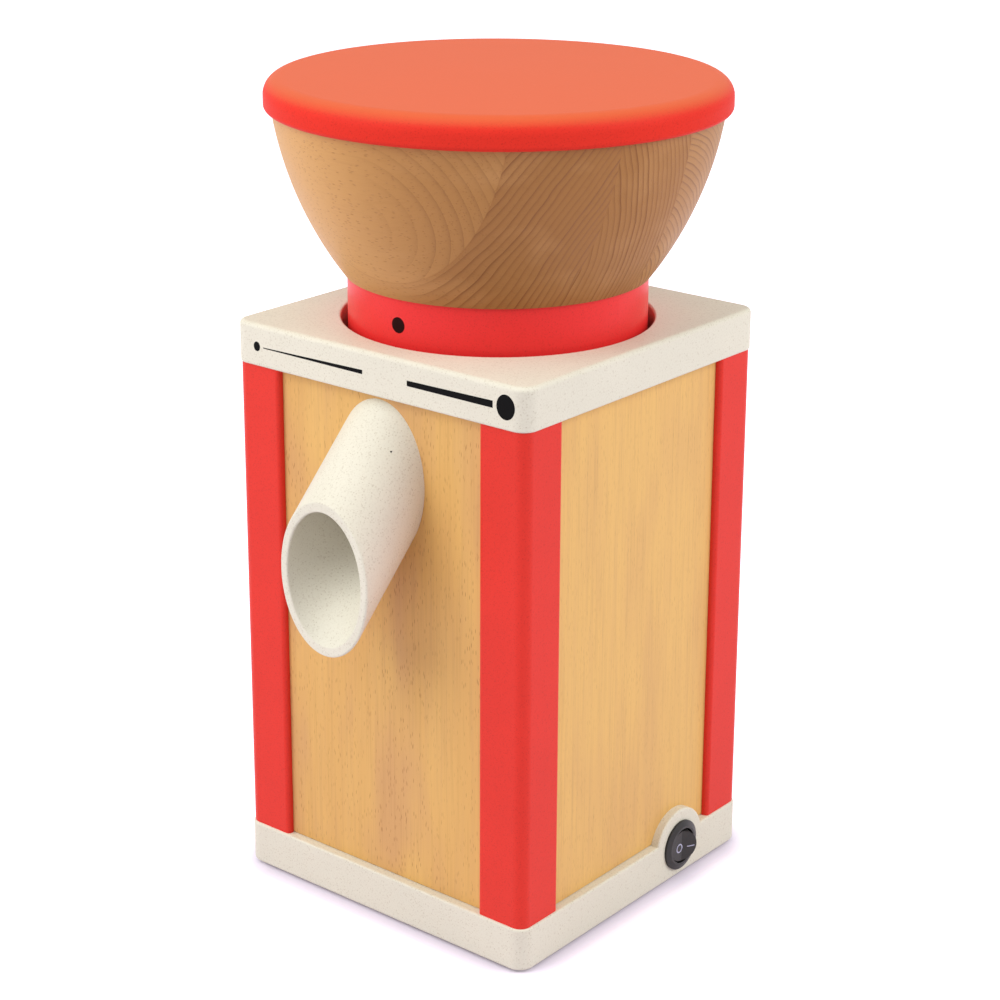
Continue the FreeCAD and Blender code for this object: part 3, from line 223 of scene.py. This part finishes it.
def cloud(tree, cell, low, high):
    """Soft patches of the given size in mm, stretched from low to high noise levels to 0 and 1."""
    noise = add(tree, "TexNoise", {"Vector": place(tree, cell), "Scale": 1.0,
                                   "Detail": NOISE_DETAIL})
    spread = {"Value": noise.outputs[0], "From Min": low, "From Max": high}
    return add(tree, "MapRange", spread).outputs[0]


def flecks(tree, cell, radius, share, soft=0.1):
    """Spots or dashes, one to a cell in mm, with a radius in cells, in the given share of cells."""
    spots = add(tree, "TexVoronoi", {"Vector": place(tree, cell), "Scale": 1.0})
    spread = {"Value": spots.outputs["Distance"], "From Min": radius, "From Max": radius + soft,
              "To Min": 1.0, "To Max": 0.0}
    near = add(tree, "MapRange", spread).outputs[0]
    pick = add(tree, "SeparateColor", {0: spots.outputs["Color"]}).outputs[0]
    chosen = add(tree, "Math", {0: pick, 1: share}, operation="LESS_THAN").outputs[0]
    return add(tree, "Math", {0: near, 1: chosen}, operation="MULTIPLY").outputs[0]


def tint(tree, share, amount, first, second):
    """Colours an area: the second colour lies over the first by the mask times an amount."""
    weight = add(tree, "Math", {0: share, 1: amount}, operation="MULTIPLY").outputs[0]
    return add(tree, "Mix", {0: weight, 6: first, 7: second}, data_type="RGBA").outputs[2]


def relief(tree, shader, height, depth):
    """Raises the surface by a pattern; depth is its height in mm."""
    bump = add(tree, "Bump", {"Height": height, "Strength": 1.0, "Distance": depth * MM})
    tree.links.new(bump.outputs[0], shader.inputs["Normal"])


def seen(tree):
    """1 for a ray that comes from the camera, a reflection or clear stuff, 0 for light's rays."""
    path = add(tree, "LightPath").outputs
    direct = add(tree, "Math", {0: path["Is Camera Ray"], 1: path["Is Glossy Ray"]},
                 operation="MAXIMUM").outputs[0]
    return add(tree, "Math", {0: direct, 1: path["Is Transmission Ray"]},
               operation="MAXIMUM").outputs[0]


def dress(names, material):
    """Puts a material on CAD nodes."""
    for name in names:
        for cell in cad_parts[name].material_slots:
            cell.material = material


def swap(finishes):
    """Puts each finish on the CAD slots whose material has its key as a name."""
    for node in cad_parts.values():
        for cell in node.material_slots:
            kind = cell.material.name.split(".")[0] if cell.material else ""
            if kind in finishes:
                cell.material = finishes[kind]


def composite(name, base, speck, cell, share, roughness, mottle, gloss=0.2):
    """Moulded mineral-filled composite: matt skin, scattered grains and faint clouds."""
    material, tree, shader = start(name, Roughness=roughness, IOR=1.5, Specular_IOR_Level=gloss)
    clouds = cloud(tree, (30, 30, 30), 0.35, 0.65)
    dust = cloud(tree, (0.8, 0.8, 0.8), 0.5, 0.75)
    grains = flecks(tree, (cell,) * 3, 0.2, share)
    big_grains = flecks(tree, (cell * 1.9,) * 3, 0.16, share * 0.5)
    colour = tint(tree, clouds, mottle, base, shaded(base, 0.86))
    for mask, amount in ((dust, 0.22), (grains, 0.38), (big_grains, 0.25)):
        colour = tint(tree, mask, amount, colour, speck)
    tree.links.new(colour, shader.inputs["Base Color"])
    relief(tree, shader, cloud(tree, (0.9, 0.9, 0.9), 0.2, 0.8), 0.02)
    return material


class MILL_OT_composite(Operator):
    """Dress the cream and red mineral composite pieces"""
    bl_idname = "mill.composite"
    bl_label = "Composite pieces"

    def execute(self, context):
        finish = context.scene.mill_finish
        # Cream composite, moulded: dull eggshell skin with grey-brown grains
        cream = composite("cream_mineral_composite_moulded", finish.cream, finish.cream_speck,
                          cell=1.1, share=0.6, roughness=0.46, mottle=0.2)
        dress(["base", "top_plate", "spout"], cream)
        # Red composite, moulded: saturated red with fine darker grains
        red = composite("red_mineral_composite_moulded", finish.red, finish.red_speck,
                        cell=0.9, share=0.6, roughness=0.46, mottle=0.3)
        dress(["front_left_post", "front_right_post", "back_left_post", "back_right_post"], red)
        # Red composite, turned and sanded: the collar is smoother than the posts, and its red is
        # painted lighter against the bowl's shade
        collar = composite("red_mineral_composite_turned", finish.collar, finish.red_speck,
                           cell=0.8, share=0.3, roughness=0.38, mottle=0.15)
        dress(["adjusting_collar"], collar)
        self.lid(finish)
        return {"FINISHED"}

    def lid(self, finish):
        """Red composite, moulded, with painted top light: more orange where the lid's face looks
        up, as photographed.
        """
        lid = composite("red_mineral_composite_faded", finish.red, finish.red_speck,
                        cell=0.9, share=0.6, roughness=0.5, mottle=0.2, gloss=0.06)
        tree = lid.node_tree
        shader = next(node for node in tree.nodes if node.type == "BSDF_PRINCIPLED")
        below = shader.inputs["Base Color"].links[0].from_socket
        # Painted top light: faces that look up are tinted more orange
        upward = add(tree, "MapRange", {"Value": facing(tree, 2), "From Min": 0.3,
                                        "From Max": 0.97}, interpolation_type="SMOOTHSTEP")
        colour = tint(tree, upward.outputs[0], 0.8, below, finish.lid_painted_top_light)
        tree.links.new(colour, shader.inputs["Base Color"])
        dress(["lid"], lid)


class MILL_OT_beech(Operator):
    """Dress the beech panels, the turned bowl and the dowels"""
    bl_idname = "mill.beech"
    bl_label = "Beech pieces"

    def execute(self, context):
        finish = context.scene.mill_finish
        self.panels(finish, ["front_panel", "left_panel"], "figured", finish.beech,
                    patches=0.8, rays=0.65)
        self.panels(finish, ["right_panel", "back_panel", "top_dowels"], "plain",
                    finish.beech_light, patches=0.35, rays=0.25)
        self.bowl(finish)
        return {"FINISHED"}

    def panels(self, finish, names, kind, ground, patches, rays):
        """Steamed beech, planed and oiled: upright streaks and short dark ray dashes."""
        material, tree, shader = start("steamed_beech_" + kind, IOR=1.5, Coat_Weight=0.06,
                                       Coat_Roughness=0.4, Specular_IOR_Level=0.22)
        streaks = cloud(tree, (16, 16, 160), 0.42, 0.64)
        blotches = cloud(tree, (24, 24, 90), 0.48, 0.68)
        bands = cloud(tree, (2.4, 2.4, 60), 0.45, 0.75)
        fibres = cloud(tree, (0.7, 0.7, 40), 0.5, 0.8)
        patchy = cloud(tree, (25, 25, 60), 0.35, 0.6)
        where = add(tree, "Math", {0: patchy, 1: rays, 2: rays * 0.5}, operation="MULTIPLY_ADD")
        dashes = flecks(tree, (0.75, 0.75, 5), 0.14, 0.75, 0.14)
        dashes = add(tree, "Math", {0: dashes, 1: where.outputs[0]},
                     operation="MULTIPLY").outputs[0]
        colour = tint(tree, streaks, 0.7, ground, finish.beech_light)
        colour = tint(tree, blotches, patches, colour, finish.beech_tan)
        colour = tint(tree, bands, 0.25, colour, finish.beech_tan)
        colour = tint(tree, fibres, 0.2, colour, finish.beech_dash)
        colour = tint(tree, dashes, 0.7, colour, finish.beech_dash)
        tree.links.new(colour, shader.inputs["Base Color"])
        rough = add(tree, "MapRange", {"Value": dashes, "To Min": 0.46, "To Max": 0.6})
        tree.links.new(rough.outputs[0], shader.inputs["Roughness"])
        grain = add(tree, "Math", {0: 1.0, 1: dashes}, operation="SUBTRACT")
        relief(tree, shader, grain.outputs[0], 0.03)
        dress(names, material)

    def bowl(self, finish):
        """Laminated beech, turned and oiled: each board shows its own rings, cut by the lathe."""
        material, tree, shader = start("laminated_beech_turned", IOR=1.5, Coat_Weight=0.06,
                                       Coat_Roughness=0.4, Specular_IOR_Level=0.22,
                                       Roughness=0.48)
        axes = add(tree, "SeparateXYZ", {0: place(tree, (1, 1, 1))}).outputs
        board, seams = self.boards(tree, axes)
        first = add(tree, "Math", {0: axes[1], 1: BOARDS[1][0]}, operation="LESS_THAN").outputs[0]
        rings = self.rings(tree, axes, board, first)
        # The photograph shows the bowl darker towards the right: that is laid in along x as painted
        # shade
        right = add(tree, "MapRange", {"Value": axes[0], "From Min": -45.0, "From Max": 42.0},
                    interpolation_type="SMOOTHSTEP").outputs[0]
        shade = add(tree, "Math", {0: board[0], 1: right}, operation="MULTIPLY").outputs[0]
        colour = tint(tree, shade, 1.0, finish.bowl, finish.bowl_shade_and_end_grain)
        colour = tint(tree, cloud(tree, (120, 20, 20), 0.5, 0.75), 0.3, colour, finish.beech_tan)
        colour = tint(tree, rings, 1.0, colour, finish.ring)
        pores = flecks(tree, (4, 0.8, 0.8), 0.15, 0.7, 0.14)
        colour = tint(tree, pores, 0.45, colour, finish.beech_dash)
        colour = tint(tree, cloud(tree, (40, 0.8, 0.8), 0.5, 0.8), 0.15, colour, finish.beech_dash)
        # Darker where the face looks along x: end grain, and partly painted shade on the middle and
        # right of the bowl
        end = add(tree, "Math", {0: facing(tree, 0)}, operation="ABSOLUTE").outputs[0]
        end = add(tree, "MapRange", {"Value": end, "From Min": 0.35, "From Max": 0.95}).outputs[0]
        colour = tint(tree, end, 0.12, colour, finish.bowl_shade_and_end_grain)
        colour = tint(tree, seams, 0.18, colour, finish.beech_dash)
        tree.links.new(colour, shader.inputs["Base Color"])
        pits = add(tree, "Math", {0: pores, 1: 0.4}, operation="MULTIPLY").outputs[0]
        grain = add(tree, "Math", {0: rings, 1: pits}, operation="SUBTRACT")
        relief(tree, shader, grain.outputs[0], 0.25)
        dress(["hopper_bowl"], material)

    def boards(self, tree, axes):
        """Values of the board at a point, split into three sockets, and the glue lines."""
        board = BOARDS[0][1:]
        seams = 0.0
        for edge, *values in BOARDS[1:]:
            past = add(tree, "Math", {0: axes[1], 1: edge}, operation="GREATER_THAN").outputs[0]
            board = add(tree, "Mix", {0: past, 4: board, 5: tuple(values)},
                        data_type="VECTOR").outputs[1]
            seam = add(tree, "Math", {0: axes[1], 1: edge, 2: 0.22}, operation="COMPARE")
            seams = add(tree, "Math", {0: seams, 1: seam.outputs[0]},
                        operation="MAXIMUM").outputs[0]
        return add(tree, "SeparateXYZ", {0: board}).outputs, seams

    def rings(self, tree, axes, board, first):
        """Year rings around each board's pith, dark at their outer edge; first: front board."""
        across = add(tree, "Math", {0: axes[1], 1: board[1]}, operation="SUBTRACT").outputs[0]
        upward = add(tree, "Math", {0: axes[2], 1: board[2]}, operation="SUBTRACT").outputs[0]
        reach = add(tree, "CombineXYZ", {1: across, 2: upward}).outputs[0]
        radius = add(tree, "VectorMath", {0: reach}, operation="LENGTH").outputs[1]
        sway = add(tree, "TexNoise", {"Vector": place(tree, (90, 28, 28)), "Scale": 1.0,
                                      "Detail": NOISE_DETAIL}).outputs[0]
        wander = add(tree, "MapRange", {"Value": first, "To Min": 3.5, "To Max": 0.8}).outputs[0]
        warped = add(tree, "Math", {0: sway, 1: wander, 2: radius},
                     operation="MULTIPLY_ADD").outputs[0]
        spacing = add(tree, "MapRange", {"Value": first, "To Min": 2.5, "To Max": 2.4}).outputs[0]
        count = add(tree, "Math", {0: warped, 1: spacing}, operation="DIVIDE").outputs[0]
        phase = add(tree, "Math", {0: count}, operation="FRACT").outputs[0]
        late = add(tree, "Math", {0: phase, 1: 4.0}, operation="POWER").outputs[0]
        year = add(tree, "Math", {0: count}, operation="FLOOR").outputs[0]
        chance = add(tree, "TexWhiteNoise", {"W": year}, noise_dimensions="1D").outputs[0]
        strength = add(tree, "Math", {0: chance, 1: 0.6, 2: 0.4},
                       operation="MULTIPLY_ADD").outputs[0]
        rings = add(tree, "Math", {0: late, 1: strength}, operation="MULTIPLY").outputs[0]
        # The photograph shows no rings on the left of the two front boards: they fade out there
        lean = add(tree, "MapRange", {"Value": axes[0], "From Min": -5.0, "From Max": 45.0},
                   interpolation_type="SMOOTHSTEP").outputs[0]
        soft = add(tree, "Math", {0: first, 1: -0.55, 2: 1.0}, operation="MULTIPLY_ADD").outputs[0]
        soft = add(tree, "Math", {0: lean, 1: soft}, operation="MULTIPLY").outputs[0]
        front = add(tree, "Math", {0: axes[1], 1: BOARDS[2][0]}, operation="LESS_THAN").outputs[0]
        fade = add(tree, "Mix", {0: front, 2: 1.0, 3: soft}).outputs[0]
        return add(tree, "Math", {0: rings, 1: fade}, operation="MULTIPLY").outputs[0]


def metal(name, code, detail_code, roughness, cell, depth):
    """Metal whose surface work shows as fine lines or grains of the given size in mm."""
    material, tree, shader = start(name, Metallic=1.0)
    marks = cloud(tree, cell, 0.4, 0.7)
    tree.links.new(tint(tree, marks, 0.5, linear(code), linear(detail_code)),
                   shader.inputs["Base Color"])
    worn = add(tree, "MapRange", {"Value": marks, "To Min": roughness - 0.07,
                                  "To Max": roughness + 0.1})
    tree.links.new(worn.outputs[0], shader.inputs["Roughness"])
    relief(tree, shader, marks, depth)
    return material


def moulded(name, base, roughness, cell, depth, shade=0.85, gloss=0.5):
    """Moulded or pressed stuff with a fine even texture of the given size in mm."""
    material, tree, shader = start(name, Roughness=roughness, IOR=1.48, Specular_IOR_Level=gloss)
    dark = shaded(base, shade)
    texture = cloud(tree, (cell,) * 3, 0.3, 0.7)
    colour = tint(tree, texture, 0.5, base, dark)
    colour = tint(tree, cloud(tree, (14, 14, 14), 0.4, 0.65), 0.35, colour, dark)
    tree.links.new(colour, shader.inputs["Base Color"])
    relief(tree, shader, texture, depth)
    return material


class MILL_OT_metals(Operator):
    """Dress the metal pieces"""
    bl_idname = "mill.metals"
    bl_label = "Metal pieces"

    def execute(self, context):
        # Zinc-plated and turned steel: cool grey with faint turning lines
        steel = metal("steel_turned", "#B4B5B4", "#8E9090",
                      roughness=0.32, cell=(6, 6, 0.35), depth=0.004)
        # Die-cast aluminium: pale grey with a fine orange-peel skin
        cast = metal("aluminium_die_cast", "#C9CACB", "#A9ABAD",
                     roughness=0.48, cell=(0.9, 0.9, 0.9), depth=0.03)
        # Stacked core sheets: thin level lines, blued by annealing
        core = metal("core_steel_stacked", "#7C7F86", "#4D5057",
                     roughness=0.45, cell=(9, 9, 0.6), depth=0.03)
        # Enamelled copper wire: warm brown with a wound line every wire
        copper = metal("copper_wire_enamelled", "#B4693A", "#7C3F1E",
                       roughness=0.3, cell=(7, 7, 0.8), depth=0.06)
        # Stamped brass: yellow with faint rubbing lines
        brass = metal("brass_stamped", "#C9A552", "#A5853C",
                      roughness=0.3, cell=(0.5, 4, 4), depth=0.004)
        swap({"steel": steel, "cast_aluminium": cast, "core_steel": core,
              "copper": copper, "brass": brass})
        return {"FINISHED"}


class MILL_OT_plastics(Operator):
    """Dress the plastic, rubber, felt and stone pieces"""
    bl_idname = "mill.plastics"
    bl_label = "Plastic, rubber, felt and stone pieces"

    def execute(self, context):
        finish = context.scene.mill_finish
        # Glass-filled phenolic, moulded: warm grey, dull, faintly mottled
        chamber = moulded("phenolic_moulded", linear("#6E675E"),
                          roughness=0.5, cell=1.6, depth=0.02)
        # Black polyamide, moulded: spark-eroded satin skin
        black = moulded("polyamide_black_moulded", finish.black,
                        roughness=0.4, cell=0.5, depth=0.01, gloss=0.35)
        # White polyamide, moulded: even, slightly warm
        white = moulded("polyamide_white_moulded", linear("#E9E7E0"),
                        roughness=0.42, cell=0.6, depth=0.01, shade=0.93)
        # Pressed wool felt: fluffy grey-white fibre
        felt = moulded("wool_felt_pressed", linear("#D8D3C6"),
                       roughness=0.95, cell=0.7, depth=0.12, shade=0.7)
        # Black nitrile rubber: dull and dark
        rubber = moulded("nitrile_rubber_moulded", linear("#1E1E1E"),
                         roughness=0.75, cell=0.8, depth=0.02)
        # Bonded corundum: pale grit with open pores
        stone = moulded("corundum_bonded", finish.stone,
                        roughness=0.9, cell=1.1, depth=0.2, shade=0.62)
        swap({"moulded_chamber": chamber, "black_plastic": black, "white_plastic": white,
              "felt": felt, "rubber": rubber, "millstone": stone})
        # Index pin, moulded polyamide: nearly black with a maroon cast, as photographed
        maroon = moulded("polyamide_maroon_moulded", linear("#260806"),
                         roughness=0.6, cell=0.6, depth=0.01, gloss=0.06)
        dress(["index_pin"], maroon)
        return {"FINISHED"}


def tree_of(name):
    """Search tree of a CAD node's surface, in the object's frame."""
    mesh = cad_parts[name].data
    corners = [vertex.co for vertex in mesh.vertices]
    faces = [tuple(face.vertices) for face in mesh.polygons]
    return BVHTree.FromPolygons(corners, faces)


def film(name, rows, carrier, start_at, heading, lift, material, body, closed, full=True):
    """Lays a thin film on a CAD node: rows of points in the drawing plane are cast onto it."""
    shape = bmesh.new()
    grid = []
    for row in rows:
        line = []
        for point in row:
            spot, _, _, _ = carrier.ray_cast(start_at(point), heading)
            if spot is None:
                raise RuntimeError("the print misses its carrier at " + str(point))
            line.append(shape.verts.new(spot - heading * lift))
        grid.append(line)
    for low, high in zip(grid, grid[1:]):
        count = len(low)
        for i in range(count if closed else count - 1):
            j = (i + 1) % count
            shape.faces.new((low[i], low[j], high[j], high[i]))
    if closed and full:
        shape.faces.new(grid[0])
    bmesh.ops.recalc_face_normals(shape, faces=shape.faces)
    away = sum((face.normal for face in shape.faces), Vector())
    if away.dot(heading) > 0:
        bmesh.ops.reverse_faces(shape, faces=shape.faces)
    mesh = bpy.data.meshes.new(name)
    shape.to_mesh(mesh)
    shape.free()
    mesh.materials.append(material)
    piece = bpy.data.objects.new(name, mesh)
    bpy.context.scene.collection.objects.link(piece)
    # The film's underside lies half a lift inside its carrier
    thick = piece.modifiers.new("thickness", "SOLIDIFY")
    thick.thickness = lift * 1.5
    thick.offset = -1.0
    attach(piece, body)
    return piece


def disc(centre, wide, high, inner=0.0, around=48, steps=6):
    """Rings of points for an oval or ring, from the inside out, in mm; inner: the hole's share."""
    angles = [2 * math.pi * i / around for i in range(around)]
    # The innermost ring never shrinks to a point: film fills it with one face
    shares = [max(inner + (1.0 - inner) * step / steps, 0.02) for step in range(steps + 1)]
    return [[(centre[0] + wide * share * math.cos(a), centre[1] + high * share * math.sin(a))
             for a in angles] for share in shares]


def wedge(first, last, steps=40):
    """Lower and upper row of points along a bar; each end is x, lowest and highest, in mm."""
    def row(side):
        return [tuple(first[k] + (last[k] - first[k]) * i / steps for k in (0, side))
                for i in range(steps + 1)]
    return [row(1), row(2)]


class MILL_OT_scale(Operator):
    """Print the grind scale on the top plate: a small dot, two growing bars and a big dot"""
    bl_idname = "mill.scale"
    bl_label = "Printed grind scale"

    def execute(self, context):
        sizes = context.scene.mill_print
        # Pad-printing ink: deep black and matt
        ink = moulded("pad_print_ink", sizes.ink, roughness=0.6, cell=0.6, depth=0.004, gloss=0.06)
        plate = tree_of("top_plate")
        middle = sizes.print_height / MM
        shapes = {
            "scale_fine_dot": (disc((-66.0, middle - 0.6), wide=1.85, high=2.1), True),
            "scale_fine_bar": (wedge((-62.3, middle - 0.85, middle - 0.45),
                                     (-5.8, middle - 1.1, middle + 0.7)), False),
            "scale_coarse_bar": (wedge((18.4, middle - 1.3, middle + 1.0),
                                       (63.1, middle - 1.3, middle + 1.7)), False),
            "scale_coarse_dot": (disc((69.6, middle + 0.2), wide=4.6, high=5.2), True),
        }
        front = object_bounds()[0][1] - CAST_CLEARANCE
        for name, (rows, closed) in shapes.items():
            film(name, rows, plate, lambda p: Vector((p[0] * MM, front, p[1] * MM)),
                 Vector((0, 1, 0)), sizes.print_lift, ink, "root", closed)
        return {"FINISHED"}


class MILL_OT_marks(Operator):
    """Print the off ring and the on bar on the rocker"""
    bl_idname = "mill.marks"
    bl_label = "Rocker marks"

    def execute(self, context):
        sizes = context.scene.mill_print
        # Hot-stamped foil on the rocker: pale lilac-white, satin
        foil = moulded("hot_stamped_foil", sizes.mark,
                       roughness=0.45, cell=0.5, depth=0.003, shade=0.92)
        rocker = tree_of("switch_rocker")
        ring = disc((30.1, 15.4), wide=2.15, high=2.15, inner=0.74, steps=2)
        bar = wedge((34.3, 14.97, 15.43), (37.5, 14.97, 15.43), steps=8)
        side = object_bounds()[1][0] + CAST_CLEARANCE
        for name, rows, closed in (("mark_off_ring", ring, True), ("mark_on_bar", bar, False)):
            film(name, rows, rocker, lambda p: Vector((side, p[0] * MM, p[1] * MM)),
                 Vector((-1, 0, 0)), sizes.mark_lift, foil, "rocker", closed,
                 full=False)
        return {"FINISHED"}


def direction(azimuth, elevation):
    """Unit vector from the object towards a place given by azimuth and elevation in degrees."""
    a = math.radians(azimuth)
    e = math.radians(elevation)
    return Vector((math.sin(a) * math.cos(e), -math.cos(a) * math.cos(e), math.sin(e)))


class MILL_OT_stage(Operator):
    """Set up the floor, the soft lamps, the white room and the camera"""
    bl_idname = "mill.stage"
    bl_label = "Floor, lamps and camera"

    def execute(self, context):
        stage = context.scene.mill_stage
        self.floor(stage)
        self.room(context, stage)
        for name, azimuth, elevation, distance, edge, power in LAMPS:
            lamp = bpy.data.lights.new(name, "AREA")
            lamp.size = edge
            lamp.energy = getattr(stage, power)
            holder = bpy.data.objects.new(name, lamp)
            towards = direction(azimuth, elevation)
            holder.location = LAMP_AIM + towards * distance
            holder.rotation_euler = towards.to_track_quat("Z", "Y").to_euler()
            context.scene.collection.objects.link(holder)
        self.camera(context)
        context.scene.view_settings.view_transform = "Standard"
        return {"FINISHED"}

    def floor(self, stage):
        """Matt white photo board: keeps the contact shadow, looks white to the camera."""
        mesh = bpy.data.meshes.new("floor")
        shape = bmesh.new()
        bmesh.ops.create_grid(shape, x_segments=4, y_segments=4, size=FLOOR_REACH)
        shape.to_mesh(mesh)
        shape.free()
        floor = bpy.data.objects.new("floor", mesh)
        bpy.context.scene.collection.objects.link(floor)
        material = bpy.data.materials.new("photo_board_matt")
        material.use_nodes = True
        tree = material.node_tree
        tree.nodes.clear()
        matt = add(tree, "BsdfDiffuse", {"Color": linear("#DED5E3")})
        # Only rays that are seen meet the glow, which fades in away from the base: the glow taken
        # away near the base paints the real contact shadow darker
        spot = place(tree, (1, 1, 1))
        for operation, other in (("ABSOLUTE", (0, 0, 0)),
                                 ("SUBTRACT", (SHADOW_SQUARE, SHADOW_SQUARE, 0)),
                                 ("MAXIMUM", (0, 0, 0))):
            spot = add(tree, "VectorMath", {0: spot, 1: other}, operation=operation).outputs[0]
        away = add(tree, "VectorMath", {0: spot}, operation="LENGTH").outputs[1]
        far = add(tree, "MapRange", {"Value": away, "From Min": SHADOW_FADE[0],
                                     "From Max": SHADOW_FADE[1], "To Min": stage.floor_glow},
                  interpolation_type="SMOOTHSTEP").outputs[0]
        power = add(tree, "Math", {0: seen(tree), 1: far}, operation="MULTIPLY").outputs[0]
        glow = add(tree, "Emission", {"Color": stage.floor_tint, "Strength": power})
        both = add(tree, "AddShader", {0: matt.outputs[0], 1: glow.outputs[0]})
        add(tree, "OutputMaterial", {"Surface": both.outputs[0]})
        mesh.materials.append(material)
        floor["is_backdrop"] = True

    def room(self, context, stage):
        """White room: even light on the object, plain white behind it."""
        world = bpy.data.worlds.new("white_room")
        world.use_nodes = True
        tree = world.node_tree
        tree.nodes.clear()
        power = add(tree, "MapRange", {"Value": seen(tree), "To Min": stage.ambient}).outputs[0]
        light = add(tree, "Background", {"Color": (1, 1, 1, 1), "Strength": power})
        add(tree, "OutputWorld", {"Surface": light.outputs[0]})
        context.scene.world = world

    def camera(self, context):
        """Camera at the photograph's angle."""
        back = direction(CAMERA_AZIMUTH, CAMERA_ELEVATION)
        a = math.radians(CAMERA_AZIMUTH)
        right = Vector((math.cos(a), math.sin(a), 0))
        up = back.cross(right)
        roll = math.radians(CAMERA_ROLL)
        x_axis = right * math.cos(roll) + up * math.sin(roll)
        y_axis = up * math.cos(roll) - right * math.sin(roll)
        spot = back * CAMERA_DISTANCE + x_axis * CAMERA_AIM[0] + y_axis * CAMERA_AIM[1]
        lens = bpy.data.cameras.new("camera")
        lens.lens = CAMERA_LENS
        lens.sensor_width = CAMERA_SENSOR
        lens.shift_y = CAMERA_SHIFT
        holder = bpy.data.objects.new("camera", lens)
        turn = Matrix((x_axis, y_axis, back)).transposed().to_4x4()
        holder.matrix_world = Matrix.Translation(spot * MM) @ turn
        context.scene.collection.objects.link(holder)
        context.scene.camera = holder


OPERATORS = (
    MILL_OT_composite,
    MILL_OT_beech,
    MILL_OT_metals,
    MILL_OT_plastics,
    MILL_OT_scale,
    MILL_OT_marks,
    MILL_OT_stage,
)


class MILL_PT_panel(Panel):
    """Lists the pieces and their sizes and colours"""
    bl_idname = "MILL_PT_panel"
    bl_label = "Grain mill"
    bl_space_type = "VIEW_3D"
    bl_region_type = "UI"
    bl_category = "Mill"

    def draw(self, context):
        scene = context.scene
        for group in (scene.mill_finish, scene.mill_print, scene.mill_stage):
            box = self.layout.box()
            for key in group.__annotations__:
                box.prop(group, key)
        for operator in OPERATORS:
            self.layout.operator(operator.bl_idname)


CLASSES = (MillFinish, MillPrint, MillStage, *OPERATORS, MILL_PT_panel)


def register():
    """Registers the classes and hangs the settings on the scene."""
    for kind in CLASSES:
        bpy.utils.register_class(kind)
    bpy.types.Scene.mill_finish = PointerProperty(type=MillFinish)
    bpy.types.Scene.mill_print = PointerProperty(type=MillPrint)
    bpy.types.Scene.mill_stage = PointerProperty(type=MillStage)


def unregister():
    """Takes the settings and the classes away again."""
    for key in ("mill_stage", "mill_print", "mill_finish"):
        delattr(bpy.types.Scene, key)
    for kind in reversed(CLASSES):
        bpy.utils.unregister_class(kind)


def main():
    register()
    bpy.ops.mill.stage()
    bpy.ops.mill.composite()
    bpy.ops.mill.beech()
    bpy.ops.mill.metals()
    bpy.ops.mill.plastics()
    bpy.ops.mill.scale()
    bpy.ops.mill.marks()


if __name__ == "__main__":
    main()
